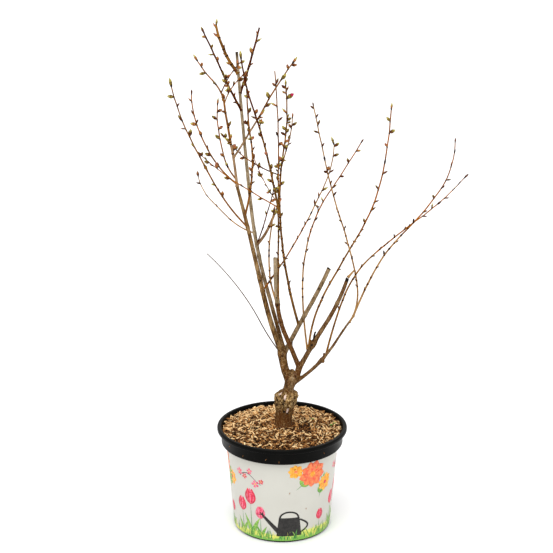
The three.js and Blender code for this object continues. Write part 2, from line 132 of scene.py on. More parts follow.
def smooth_step(value: Array | float, low: float, high: float) -> Array | float:
    """Rises smoothly from 0 at low to 1 at high.

    Args:
        value: The number or numbers to read.
        low: Where the rise starts.
        high: Where the rise ends.

    Returns:
        The risen share, from 0 to 1.
    """
    share = np.clip((value - low) / (high - low), 0.0, 1.0)
    return share * share * (3.0 - 2.0 * share)


def bell(gap: Array | float, width: float) -> Array | float:
    """Falls off from 1 as a gap grows, the slower the greater the width."""
    return np.exp(-(gap / width) ** 2)


def polar(radius: float, angle: float, height: float = 0.0) -> Array:
    """Gives the point at a radius, an angle in radians and a height about the upright axis."""
    return np.array([radius * math.cos(angle), radius * math.sin(angle), height])


def swing(turn: Array) -> Array:
    """Brings turns in degrees to between -180 and 180."""
    return (turn + 180.0) % 360.0 - 180.0


def spotted(x: float, y: float, z: float) -> float:
    """Gives smooth noise of about -1 to 1 at a place."""
    return noise.noise((x, y, z))


class Draw:
    """A repeatable stream of numbers between 0 and 1, the same as the part's source uses."""

    FACTOR = 16807
    MODULUS = 2147483647

    def __init__(self, seed: int) -> None:
        """Starts the stream at a seed."""
        self.state = seed

    def next(self) -> float:
        """Gives the next number."""
        self.state = (self.state * self.FACTOR) % self.MODULUS
        return self.state / self.MODULUS

    def between(self, low: float, high: float) -> float:
        """Gives the next number, scaled to a range."""
        return low + (high - low) * self.next()

    def turn(self) -> float:
        """Gives an angle anywhere round the circle, in radians."""
        return self.between(0.0, 2.0 * math.pi)


# Growth: how limbs and shoots run


def stationed(values: Sequence[float], share: float) -> float:
    """Reads a list of values at equal stations.

    Args:
        values: The values, from root to tip.
        share: Where to read, from 0 at the root to 1 at the tip.

    Returns:
        The value there.
    """
    if len(values) == 1:
        return values[0]
    place = min(max(share, 0.0), 1.0) * (len(values) - 1)
    index = min(int(place), len(values) - 2)
    return values[index] + (values[index + 1] - values[index]) * (place - index)


def unit(vector: Array) -> Array:
    """Gives a vector, or each row of an array of them, a length of 1."""
    return vector / np.linalg.norm(vector, axis=-1, keepdims=True)


def across(heading: Array) -> tuple[Array, Array]:
    """Finds two directions square to a heading, the first as near as can be to the viewer's right."""
    first = unit(RIGHT - heading * np.sum(heading * RIGHT, axis=-1, keepdims=True))
    return first, np.cross(heading, first)


def leaning(heading: Array, turn: float, lean: float) -> Array:
    """Leans away from a heading.

    Args:
        heading: The heading to lean from.
        turn: The side that it leans to, in degrees round the heading.
        lean: How far it leans, in degrees.

    Returns:
        The new heading.
    """
    first, second = across(heading)
    turn, lean = math.radians(turn), math.radians(lean)
    side = first * math.cos(turn) + second * math.sin(turn)
    return heading * math.cos(lean) + side * math.sin(lean)


@dataclass(frozen=True)
class Path:
    """The line that a limb follows from its root, in equal short steps."""

    points: Array
    length: float

    def at(self, distance: float) -> Array:
        """Finds a point on the line, which runs on straight past both ends.

        Args:
            distance: The distance along.

        Returns:
            The point.
        """
        place = distance / self.length * (len(self.points) - 1)
        index = min(max(math.floor(place), 0), len(self.points) - 2)
        return self.points[index] + (self.points[index + 1] - self.points[index]) * (place - index)

    def heading(self, distance: float) -> Array:
        """Gives the heading at a distance along."""
        return unit(self.at(distance + STEP) - self.at(distance - STEP))

    def frames(self, distances: Sequence[float]) -> tuple[Array, Array]:
        """Gives the points and headings at distances along."""
        return np.array([self.at(d) for d in distances]), np.array([self.heading(d) for d in distances])


def follow(start: Array, length: float, right: Sequence[float], back: Sequence[float]) -> Path:
    """Follows a limb from its root.

    Args:
        start: The root.
        length: The length along the limb.
        right: Leans to the right in degrees, at equal stations.
        back: Leans to the back in degrees, at equal stations.

    Returns:
        The path.
    """
    count = math.ceil(length / STEP)
    points = [np.array(start, float)]
    for i in range(count):
        share = (i + 0.5) / count
        lean_right = math.tan(math.radians(stationed(right, share)))
        lean_back = math.tan(math.radians(stationed(back, share)))
        points.append(points[-1] + unit(np.array([lean_right, lean_back, 1.0])) * length / count)
    return Path(np.array(points), length)


@dataclass(frozen=True)
class Limb:
    """A limb: what it grows from and where, its length, its leans in degrees and its thickness.

    The colour numbers say how grey, how rusty and how khaki its bark is, from 0 to 1. A cut limb ends
    square, with its cut sloping by "slant".
    """

    source: str
    at: float
    length: float
    right: tuple[float, ...]
    back: tuple[float, ...]
    thick: tuple[float, float]
    side: float = 0.0
    grey: float = 0.3
    rust: float = 0.2
    khaki: float = 0.0
    slant: float = 0.0
    cut: bool = False


class Rind(Palette):
    """The colours of young bark, and of the nodes on it."""

    OLIVE = (128, 88, 38), (70, 42, 11)
    GOLDEN = (146, 100, 42), (86, 52, 15)
    WINE = (94, 40, 12), (46, 15, 3)
    ROSY = (166, 98, 26), (104, 56, 6)
    PALE = (174, 134, 84), (116, 79, 40)
    TAN = (146, 95, 42), (88, 50, 15)
    DEAD = (96, 74, 58), (54, 38, 28)
    NODE = (156, 104, 52), (102, 60, 24)
    DARK_NODE = (56, 30, 14), (28, 14, 5)
    HOARY = (162, 131, 98), (108, 78, 50)


@dataclass(frozen=True)
class Shoot:
    """A shoot, written like a limb, with its mass, the length of its budless root end, its share of
    spurs and the bark it has at its root and at its tip."""

    mass: str
    source: str
    at: float
    length: float
    right: tuple[float, ...]
    back: tuple[float, ...]
    thick: tuple[float, float]
    bare: float
    spurs: float
    rinds: tuple[Rind, Rind]
    side: float = 0.0
    fullness: float = 1.0


TRUNK_FOOT = np.array([2.0, 0.0, MULCH_SEAT_HEIGHT + GAP])
TRUNK_LENGTH = 126.0
TRUNK_RIGHT = (5.0, 5.0, 8.0, 20.0, 8.0)
TRUNK_STATIONS = (0, 6, 20, 36, 50, 66, 75, 81, 85, 95, 105, 113, 119, 126)
TRUNK_RADII = (20.5, 18.5, 17.5, 18.5, 21, 25, 22.5, 15.5, 11.5, 12, 14, 13.5, 9.5, 6)

LIMBS = {
    "stem_left": Limb("trunk", 108, 65, (-25, -12, -4), (6,), (13.5, 15), -6, 0.15, 0.45, 0.15),
    "stem_right": Limb("trunk", 106, 40, (25, 10), (-8,), (11.5, 12), 6, 0.0, 0.9, 0.05),
    "bough_outer_left": Limb(
        "stem_left", 65, 380, (-20, -12, -12, -14), (-8, -6, -4), (10.8, 6), -2, 0.28, 0.2, 0.5),
    "bough_leader": Limb(
        "stem_left", 58, 645, (-16, -15, -6, -5, -4), (12, 8, 4, 2), (8, 4.4), 6, 0.25, 0.1, 0.15),
    "bough_crossing": Limb("stem_right", 35, 160, (-20, -22, -4), (-8, -4), (7.6, 7.4), 0, 0.0, 0.9, 0.05),
    "bough_low_right": Limb(
        "trunk", 104, 205, (55, 40, 28, 32), (-10, -12, -14), (7, 4.2), 8, 0.28, 0.45, 0.1),
    "stub_inner_right": Limb(
        "stem_left", 60, 205, (26, 30, 25), (6, 10, 14), (9.6, 7.8), 6, 0.55, 0.1, 0.45, 0.25, True),
    "stub_outer_right": Limb(
        "stem_right", 35, 225, (26, 31, 17), (-4, 2), (10.4, 6.4), 1, 0.3, 0.55, 0.1, 0.3, True),
    "stub_upright": Limb(
        "bough_crossing", 160, 95, (-5, 0), (5,), (6.8, 6.4), 0, 0.95, 0.05, 0.0, 0.05, True),
}

SNAGS = {
    "bough_crossing_snag": Limb("bough_crossing", 52, 14, (6,), (-14,), (3, 2), 2.5, 0.4, 0.2),
    "stub_outer_right_snag": Limb("stub_outer_right", 70, 22, (-5, 20), (-16,), (4.4, 3.2), -2.5, 0.2, 0.2),
}

BARK_LIMBS = {**LIMBS, **SNAGS}

SHOOTS = {
    "outer_left": Shoot(
        "twigs_outer_left", "bough_outer_left", 380, 180, (-5, -10, -7), (-4, 0), (5.6, 4), 60, 0.1,
        (Rind.HOARY, Rind.TAN), 0, 0.9),
    "outer_left_low": Shoot(
        "twigs_outer_left", "outer_left", 5, 220, (-50, -30, -18, 0), (-16, -10), (2.8, 1.8), 40, 0,
        (Rind.TAN, Rind.ROSY), 0, 1.15),
    "outer_left_back": Shoot(
        "twigs_outer_left", "outer_left", 15, 160, (-45, -15, -10, 5), (22, 14), (2.6, 1.8), 20, 0,
        (Rind.TAN, Rind.ROSY), 0, 1.15),
    "outer_left_diagonal": Shoot(
        "twigs_outer_left", "outer_left", 60, 225, (35, 30, 37), (18, 12), (2.8, 1.8), 30, 0.2,
        (Rind.HOARY, Rind.TAN), 0, 1.35),
    "outer_left_fork": Shoot(
        "twigs_outer_left", "outer_left", 178, 100, (-12, -42, -30), (-14, -10), (3.2, 2), 12, 0.2,
        (Rind.TAN, Rind.ROSY)),
    "outer_left_fork_side": Shoot(
        "twigs_outer_left", "outer_left_fork", 18, 70, (25, 30, 45), (16, 10), (2.2, 1.7), 12, 0.3,
        (Rind.WINE, Rind.ROSY)),
    "outer_left_end": Shoot(
        "twigs_outer_left", "outer_left", 172, 70, (18, 35, 48), (12, 14), (2.2, 1.7), 14, 0.3,
        (Rind.TAN, Rind.ROSY)),
    "far_left": Shoot(
        "twigs_far_left", "bough_outer_left", 290, 375, (-40, -25, -22, -10), (-26, -22), (3, 1.8), 70, 0,
        (Rind.TAN, Rind.TAN), 0, 1.15),
    "low_left": Shoot(
        "twigs_low_left", "bough_leader", 265, 175, (-75, -50, -45, -15), (24, 20), (2.6, 1.7), 40, 0,
        (Rind.PALE, Rind.PALE)),
    "inner_left": Shoot(
        "twigs_inner_left", "bough_outer_left", 315, 265, (15, 5, -8, 0), (-14, -8, -2), (3, 1.9), 50, 0.15,
        (Rind.TAN, Rind.TAN), 0, 1.35),
    "across": Shoot(
        "twigs_across", "bough_outer_left", 145, 345, (40, 34, 28, 24, 2), (26, 16, 10, 8), (2.8, 1.8), 20,
        0.1, (Rind.ROSY, Rind.PALE), 0, 1.1),
    "leader_front": Shoot(
        "twigs_leader_side", "bough_leader", 240, 130, (20, 15, 14), (-14, -8), (2.6, 1.8), 30, 0,
        (Rind.WINE, Rind.WINE)),
    "leader_back": Shoot(
        "twigs_leader_side", "bough_leader", 240, 85, (45, 25, 22), (8, 6), (3.4, 2.6), 20, 0,
        (Rind.HOARY, Rind.HOARY), 0, 1.7),
    "top_right": Shoot(
        "twigs_top_right", "bough_leader", 560, 140, (20, 14), (14, 8), (2.8, 1.8), 10, 0.25,
        (Rind.WINE, Rind.WINE), 0, 1.75),
    "top_left": Shoot(
        "twigs_top_left", "bough_leader", 525, 185, (-28, -22, -24), (-16, -12), (3.2, 2), 24, 0.15,
        (Rind.WINE, Rind.WINE), 0, 1.35),
    "top_middle": Shoot(
        "twigs_top_middle", "bough_leader", 600, 110, (-40, -25, -12), (16, 10), (2.6, 1.8), 12, 0.2,
        (Rind.GOLDEN, Rind.GOLDEN), 0, 2.4),
    "centre": Shoot(
        "twigs_centre", "bough_crossing", 160, 500, (0, 0, 0, -5), (-16, -8, -6, -4), (4.2, 2.4), 80, 0.15,
        (Rind.OLIVE, Rind.TAN), 2, 0.84),
    "centre_curved": Shoot(
        "twigs_centre", "centre", 215, 325, (-10, -12, -18, -8), (-12, -8), (3.4, 2.2), 30, 0.25,
        (Rind.OLIVE, Rind.WINE), 0, 1.18),
    "centre_reach": Shoot(
        "twigs_centre", "centre", 218, 190, (-58, -56, -45), (-14, -8), (2.4, 1.5), 20, 0,
        (Rind.ROSY, Rind.ROSY)),
    "centre_left": Shoot(
        "twigs_centre_left", "bough_crossing", 160, 195, (-20, -5, 5, 10), (4, 0), (3.2, 2.2), 30, 0,
        (Rind.PALE, Rind.PALE), -2, 1.1),
    "centre_right": Shoot(
        "twigs_centre_right", "stub_inner_right", 65, 520, (-16, -9, -2, 9, -6), (-2, -4, 2), (4.6, 2.2), 60,
        0.35, (Rind.OLIVE, Rind.GOLDEN), 0, 1.08),
    "centre_right_back": Shoot(
        "twigs_centre_right", "centre_right", 355, 100, (18, 16, 2), (14, 10), (2.2, 1.7), 10, 0.4,
        (Rind.PALE, Rind.PALE), 0, 1.15),
    "centre_right_inner": Shoot(
        "twigs_centre_right", "centre_right", 270, 115, (-38, -28, -20), (14, 10), (2.4, 1.6), 16, 0.2,
        (Rind.PALE, Rind.ROSY), 0, 0.8),
    "centre_right_reach": Shoot(
        "twigs_centre_right", "centre_right", 335, 145, (-70, -54, -36), (-20, -12), (2.4, 1.6), 16, 0.1,
        (Rind.WINE, Rind.ROSY)),
    "back_right": Shoot(
        "twigs_back_right", "stub_outer_right", 45, 480, (-9, -2, 15, 36, 32), (40, 24, 20, 16), (3.4, 2),
        110, 0.1, (Rind.PALE, Rind.ROSY), -5, 1.08),
    "right": Shoot(
        "twigs_right", "stub_outer_right", 52, 570, (4, 26, 27, 9, 1), (-8, -14, -14), (4, 2.2), 90, 0.1,
        (Rind.GOLDEN, Rind.ROSY), -5),
    "far_right": Shoot(
        "twigs_far_right", "bough_low_right", 95, 495, (15, 22, 52, 55, 43), (24, 20, 16), (4, 1.8), 90, 0,
        (Rind.GOLDEN, Rind.ROSY)),
    "outer_right": Shoot(
        "twigs_outer_right", "bough_low_right", 205, 440, (18, 24, 42, 32, -2), (-12, -10, -6), (3.9, 1.8),
        60, 0, (Rind.PALE, Rind.ROSY)),
    "outer_right_snag": Shoot(
        "twigs_outer_right", "outer_right", 65, 25, (25,), (-10,), (1.6, 1.2), 25, 0, (Rind.TAN, Rind.PALE),
        0, 1.6),
    "front_right": Shoot(
        "twigs_front_right", "bough_low_right", 190, 520, (22, -12, -18, -12, -12), (-40, -8, -12, -16, -20),
        (3.4, 2), 80, 0.1, (Rind.PALE, Rind.PALE), 1),
    "dead_wire": Shoot(
        "twig_dead_wire", "stem_left", 60, 290, (-32, -24, -34, -44), (-20, -10), (1.8, 1.2), 290, 0,
        (Rind.DEAD, Rind.DEAD), -4, 1.3),
    "stub_end": Shoot(
        "twig_stub_end", "stub_outer_right", 225, 20, (42,), (10,), (2, 1.4), 20, 0, (Rind.PALE, Rind.PALE),
        0, 2.2),
}


def grow() -> dict[str, Path]:
    """Works out where every limb, snag and shoot runs, each from what it grows from.

    Returns:
        The paths by name, with the trunk's.
    """
    paths = {"trunk": follow(TRUNK_FOOT, TRUNK_LENGTH, TRUNK_RIGHT, (0.0,))}
    for name, record in {**BARK_LIMBS, **SHOOTS}.items():
        parent = paths[record.source]
        heading = parent.heading(record.at)
        start = parent.at(record.at) + across(heading)[0] * record.side
        if record.at >= parent.length:
            start = start + heading * GAP
        paths[name] = follow(start, record.length, record.right, record.back)
    return paths


# Meshes from arrays


def deselect() -> None:
    """Leaves nothing selected."""
    bpy.ops.object.select_all(action="DESELECT")


def make_active(piece: Object) -> None:
    """Selects one piece alone and makes it active.

    Args:
        piece: The piece.
    """
    deselect()
    piece.select_set(True)
    bpy.context.view_layer.objects.active = piece


def apply_modifier(piece: Object, kind: str, settings: dict[str, object]) -> None:
    """Adds a modifier to a piece and applies it.

    Args:
        piece: The piece.
        kind: The modifier's type.
        settings: Its properties by name.
    """
    make_active(piece)
    modifier = piece.modifiers.new(kind.lower(), kind)
    for name, value in settings.items():
        setattr(modifier, name, value)
    bpy.ops.object.modifier_apply(modifier=modifier.name)


def smooth_by_angle(piece: Object, degrees: float) -> None:
    """Shades a piece smooth, apart from edges sharper than an angle."""
    make_active(piece)
    bpy.ops.object.shade_smooth_by_angle(angle=math.radians(degrees))


def dress(piece: Object, slot: str, nodes: Sequence[str] = (),
          material: Material | None = None) -> None:
    """Gives a piece its place in the part.

    Args:
        piece: The finished piece.
        slot: The record's material slot; not used.
        nodes: The CAD nodes that it stands for.
        material: Its material, where it doesn't have its own yet.
    """
    if material:
        piece.data.materials.clear()
        piece.data.materials.append(material)
    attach(piece, BODY)
    if nodes:
        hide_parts(*nodes)
    LOG.info("%s: %d faces", piece.name, len(piece.data.polygons))


class Stock:
    """Points and faces of many small shapes, gathered into one mesh."""

    def __init__(self) -> None:
        """Starts empty."""
        self.points: list[Array] = []
        self.faces: Faces = []
        self.finishes: list[int] = []
        self.count = 0

    def add(self, points: Array, faces: Faces, finish: int | list[int] = 0) -> None:
        """Adds one shape.

        Args:
            points: Its points in millimetres, one in each row.
            faces: Its faces, as indices of its own points.
            finish: The material's index, for the whole shape or for each face.
        """
        self.points.append(points)
        self.faces.extend([i + self.count for i in face] for face in faces)
        self.finishes.extend(finish if isinstance(finish, list) else [finish] * len(faces))
        self.count += len(points)

    def piece(self, name: str, materials: Sequence[Material], smooth: bool = True) -> Object:
        """Makes one object of all that was added, with its place in its mesh.

        Args:
            name: The object's name.
            materials: Its materials, in the order of the indices.
            smooth: Whether its faces are shaded smooth.

        Returns:
            The object.
        """
        mesh = bpy.data.meshes.new(name)
        mesh.from_pydata((np.concatenate(self.points) * MM).tolist(), [], self.faces)
        for material in materials:
            mesh.materials.append(material)
        mesh.polygons.foreach_set("material_index", self.finishes)
        mesh.polygons.foreach_set("use_smooth", [smooth] * len(self.faces))
        mesh.update()
        piece = bpy.data.objects.new(name, mesh)
        bpy.context.scene.collection.objects.link(piece)
        return piece


def round_angles(sides: int) -> Array:
    """Gives the angles of a ring's points, in radians."""
    return 2.0 * np.pi * np.arange(sides) / sides


def ring_faces(rings: int, sides: int) -> Faces:
    """Joins rings of points into a closed skin whose faces point outwards.

    Args:
        rings: How many rings there are, from root to tip.
        sides: How many points each has.

    Returns:
        The faces along the sides, then the two ends.
    """
    faces = []
    for i in range(rings - 1):
        for j in range(sides):
            a, b = i * sides + j, i * sides + (j + 1) % sides
            faces.append([a, b, b + sides, a + sides])
    last = (rings - 1) * sides
    return [*faces, [0, *range(sides - 1, 0, -1)], list(range(last, last + sides))]


def tube(centres: Array, headings: Array, radii: Array, sides: int) -> Shape:
    """Makes a closed tube.

    Args:
        centres: The middle of each ring.
        headings: The heading square to each ring, or one for all.
        radii: A radius for each ring, or for each point of each ring.
        sides: How many points a ring has.

    Returns:
        The points and the faces.
    """
    first, second = across(np.broadcast_to(headings, centres.shape))
    angles = round_angles(sides)
    radii = np.broadcast_to(radii if radii.ndim == 2 else radii[:, None], (len(centres), sides))
    points = (centres[:, None, :]
              + first[:, None, :] * (radii * np.cos(angles))[:, :, None]
              + second[:, None, :] * (radii * np.sin(angles))[:, :, None])
    return points.reshape(-1, 3), ring_faces(len(centres), sides)


# Shader maths


class Level:
    """A number that varies over a surface, with arithmetic that adds Math nodes."""

    def __init__(self, nodes: "Nodes", socket: NodeSocket) -> None:
        """Keeps the socket that gives the number."""
        self.nodes = nodes
        self.socket = socket

    def __add__(self, other: "Level | float") -> "Level":
        """Adds."""
        return self.nodes.math("ADD", self, other)

    __radd__ = __add__

    def __sub__(self, other: "Level | float") -> "Level":
        """Takes away."""
        return self.nodes.math("SUBTRACT", self, other)

    def __rsub__(self, other: float) -> "Level":
        """Takes this from a number."""
        return self.nodes.math("SUBTRACT", other, self)

    def __mul__(self, other: "Level | float") -> "Level":
        """Multiplies."""
        return self.nodes.math("MULTIPLY", self, other)

    __rmul__ = __mul__

    def rise(self, low: float, high: float) -> "Level":
        """Rises smoothly from 0 to 1.

        Args:
            low: Where the rise starts.
            high: Where the rise ends.

        Returns:
            The risen share.
        """
        node = self.nodes.make(
            "ShaderNodeMapRange", {"interpolation_type": "SMOOTHSTEP"},
            {"Value": self, "From Min": low, "From Max": high})
        return Level(self.nodes, node.outputs["Result"])


class Nodes:
    """The node tree of one material."""

    MIX_FACTOR, MIX_FIRST, MIX_SECOND, MIX_RESULT = 0, 6, 7, 2

    def __init__(self, name: str) -> None:
        """Makes a material with a plain Principled shader.

        Args:
            name: The material's name.
        """
        self.material = bpy.data.materials.new(name)
        self.material.use_nodes = True
        self.tree = self.material.node_tree
        self.shader = self.tree.nodes["Principled BSDF"]

    def make(self, kind: str, settings: dict[str, object], sockets: dict[str | int, object]) -> bpy.types.Node:
        """Adds a node.

        Args:
            kind: The node's type.
            settings: Its properties by name, which are set first.
            sockets: The values or links of its sockets, by name or index.

        Returns:
            The node.
        """
        node = self.tree.nodes.new(kind)
        for name, value in settings.items():
            setattr(node, name, value)
        for name, value in sockets.items():
            self.plug(node.inputs[name], value)
        return node

    def plug(self, socket: NodeSocket, value: object) -> None:
        """Links a socket, or sets its plain value.

        Args:
            socket: The socket.
            value: A level, another node's socket or a plain value.
        """
        source = value.socket if isinstance(value, Level) else value
        if isinstance(source, NodeSocket):
            self.tree.links.new(source, socket)
        else:
            socket.default_value = source

    def math(self, operation: str, first: object, second: object) -> Level:
        """Adds a Math node."""
        node = self.make("ShaderNodeMath", {"operation": operation}, {0: first, 1: second})
        return Level(self, node.outputs[0])

    def place(self, stretch: Place = EVEN) -> NodeSocket:
        """Reads the place on the object, divided by a stretch.

        Args:
            stretch: The stretch along each axis.

        Returns:
            The place.
        """
        where = self.make("ShaderNodeTexCoord", {}, {}).outputs["Object"]
        scale = tuple(1.0 / size for size in stretch)
        return self.make("ShaderNodeMapping", {}, {"Vector": where, "Scale": scale}).outputs["Vector"]

    def noise(self, grain: float, detail: float = 3.0, stretch: Place = EVEN, distortion: float = 0.0) -> Level:
        """Gives noise from 0 to 1 over the object.

        Args:
            grain: The size of its features, in millimetres.
            detail: How many finer layers it has.
            stretch: How many times longer the features are along each axis.
            distortion: How far it is warped.

        Returns:
            The noise.
        """
        node = self.make("ShaderNodeTexNoise", {}, {
            "Vector": self.place(stretch), "Scale": 1.0 / (grain * MM), "Detail": detail,
            "Distortion": distortion})
        return Level(self, node.outputs["Fac"])

    def attribute(self, name: str) -> Level:
        """Reads one of the mesh's own attributes."""
        return Level(self, self.make("ShaderNodeAttribute", {"attribute_name": name}, {}).outputs["Fac"])

    def facing(self) -> Level:
        """Gives how far the surface turns away from the eye, from 0 to 1."""
        return Level(self, self.make("ShaderNodeLayerWeight", {}, {"Blend": 0.5}).outputs["Facing"])

    def upright(self, vector: NodeSocket) -> Level:
        """Gives the vertical part of a vector."""
        return Level(self, self.make("ShaderNodeSeparateXYZ", {}, {0: vector}).outputs["Z"])

    def blend(self, share: Level, first: object, second: object) -> NodeSocket:
        """Mixes two colours.

        Args:
            share: The share of the second.
            first: The first colour.
            second: The second colour.

        Returns:
            The mixed colour.
        """
        node = self.make("ShaderNodeMix", {"data_type": "RGBA", "blend_type": "MIX"}, {
            self.MIX_FACTOR: share, self.MIX_FIRST: first, self.MIX_SECOND: second})
        return node.outputs[self.MIX_RESULT]

    def bump(self, height: Level, depth: float, strength: float = 1.0) -> NodeSocket:
        """Turns a height into a normal, for a relief of a depth in millimetres."""
        node = self.make("ShaderNodeBump", {}, {"Height": height, "Distance": depth * MM, "Strength": strength})
        return node.outputs["Normal"]

    def finish(self, sockets: dict[str, object]) -> Material:
        """Finishes the material.

        Args:
            sockets: The values or links of the shader's own sockets, by name.

        Returns:
            The material.
        """
        for name, value in sockets.items():
            self.plug(self.shader.inputs[name], value)
        return self.material


# Finishes


@dataclass(frozen=True)
class SatinPlastic:
    """Black moulded plastic with a satin skin, fine scuffs and a little dust, and its upward faces paler: partly
    dust that settles there, partly painted light from above.
    """

    body: Colour = tone(5, 5, 4)
    # Dust colour, also used as painted light on upward faces
    dust_and_top_light: Colour = tone(38, 35, 30)
    scuff_grain: float = 1.2
    scuff_stretch: Place = (6.0, 6.0, 1.0)
    cloud_grain: float = 45.0
    roughness: float = 0.2

    def material(self) -> Material:
        """Makes the material.

        Returns:
            The material.
        """
        nodes = Nodes("satin_black_plastic")
        clouds = nodes.noise(self.cloud_grain, 4.0)
        scuffs = nodes.noise(self.scuff_grain, 3.0, self.scuff_stretch)
        upward = nodes.upright(nodes.make("ShaderNodeNewGeometry", {}, {}).outputs["Normal"])
        # Dust in clouds and scuffs, and upward faces made paler as painted light from above
        dust_and_top_light_share = clouds.rise(0.52, 0.85) * 0.25 + scuffs.rise(0.66, 0.8) * 0.16 + upward.rise(0.5, 1.0) * 0.3
        return nodes.finish({
            "Base Color": nodes.blend(dust_and_top_light_share, self.body, self.dust_and_top_light),
            "Roughness": clouds * 0.2 + scuffs * 0.12 + self.roughness,
            "Normal": nodes.bump(scuffs, 0.05, 0.5),
            "Specular IOR Level": 0.05,
        })


@dataclass(frozen=True)
class PrintedFilm:
    """White film with a watercolour meadow washed along its foot."""

    ground: Colour = tone(199, 198, 189)
    shade: Colour = tone(191, 189, 180)
    deep: Colour = tone(46, 132, 58)
    middle: Colour = tone(112, 174, 62)
    light: Colour = tone(214, 218, 96)
    meadow_height: float = 17.0
    meadow_wander: float = 68.0
    wash_wander: float = 13.0
    roughness: float = 0.27

    def material(self) -> Material:
        """Makes the material.

        Returns:
            The material.
        """
        nodes = Nodes("printed_film")
        height = nodes.upright(nodes.place()) * (1.0 / MM)
        rolling = nodes.noise(150.0, 1.0, (1.0, 1.0, 4.0)) - 0.5
        washes = nodes.noise(16.0, 4.0, (1.0, 1.0, 0.6), 0.6) - 0.5
        edge = height - (rolling * self.meadow_wander + washes * self.wash_wander + self.meadow_height)
        paint = 1.0 - edge.rise(-1.5, 3.5)
        strength = (1.0 - edge.rise(-15.0, 2.0)) * 0.75 + washes * 0.7
        green = nodes.blend(nodes.noise(170.0, 1.0).rise(0.4, 0.62), self.deep, self.middle)
        wash = nodes.blend(strength.rise(0.12, 0.75), self.light, green)
        ground = nodes.blend(nodes.noise(60.0, 2.0), self.ground, self.shade)
        return nodes.finish({
            "Base Color": nodes.blend(paint * 0.94, ground, wash),
            "Roughness": nodes.noise(25.0, 3.0) * 0.14 + self.roughness,
            "Normal": nodes.bump(nodes.noise(38.0, 2.0), 0.5, 0.4),
            "Specular IOR Level": 0.3,
        })


class InkShade(Palette):
    """The printed colours."""

    CORAL = (246, 142, 84), (232, 92, 66)
    AMBER = (250, 188, 70), (240, 146, 40)
    ROSE = (242, 138, 158), (222, 70, 110)
    CRIMSON = (226, 62, 84), (196, 30, 62)
    LEAF = (150, 190, 84), (88, 146, 58)
    MEADOW = (86, 156, 66), (36, 108, 52)
    BLACK = (44, 42, 40), (26, 25, 24)
    STRAW = (226, 222, 118), (200, 194, 74)


@dataclass(frozen=True)
class Ink:
    """One printed colour, washed lighter and darker like watercolour."""

    shade: InkShade
    grain: float = 5.0
    roughness: float = 0.27

    def material(self) -> Material:
        """Makes the material.

        Returns:
            The material.
        """
        nodes = Nodes(f"ink_{self.shade.title}")
        light, deep = self.shade.tones()
        wash = nodes.noise(self.grain, 3.0, EVEN, 0.8)
        return nodes.finish({
            "Base Color": nodes.blend(wash.rise(0.34, 0.66), deep, light),
            "Roughness": nodes.noise(25.0, 3.0) * 0.14 + self.roughness,
            "Specular IOR Level": 0.3,
        })


@dataclass(frozen=True)
class PottingSoil:
    """Dark, moist fines between and under the wood chips."""

    dark: Colour = tone(24, 15, 8)
    light: Colour = tone(62, 40, 22)
    crumb: float = 3.0

    def material(self) -> Material:
        """Makes the material.

        Returns:
            The material.
        """
        nodes = Nodes("potting_soil")
        crumbs = nodes.noise(self.crumb, 4.0)
        return nodes.finish({
            "Base Color": nodes.blend(crumbs.rise(0.35, 0.7), self.dark, self.light),
            "Roughness": 0.95,
            "Specular IOR Level": 0.1,
            "Normal": nodes.bump(crumbs, 1.5),
        })


class Wood(Palette):
    """The shades of wood that a bag of chips holds, from the palest to the darkest. Choosing among them also
    serves as painted shade low in the bed and painted light towards the back.
    """

    STRAW = (255, 226, 174), (230, 182, 120)
    HONEY = (216, 164, 104), (164, 112, 60)
    AMBER = (172, 120, 68), (118, 74, 36)
    BARK = (118, 76, 42), (66, 39, 20)
    SHADE = (66, 42, 24), (32, 20, 11)


@dataclass(frozen=True)
class ChipWood:
    """Shredded wood of one shade."""

    shade: Wood
    fibre_grain: float = 1.6
    patch_grain: float = 9.0

    def material(self) -> Material:
        """Makes the material.

        Returns:
            The material.
        """
        nodes = Nodes(f"chip_{self.shade.title}")
        light, deep = self.shade.tones()
        fibre = nodes.noise(self.fibre_grain, 4.0, EVEN, 1.5)
        patches = nodes.noise(self.patch_grain, 2.0)
        return nodes.finish({
            "Base Color": nodes.blend((fibre * 0.65 + patches * 0.35).rise(0.34, 0.64), deep, light),
            "Roughness": fibre * 0.2 + 0.68,
            "Specular IOR Level": 0.05,
            "Normal": nodes.bump(fibre, 0.4, 0.8),
        })


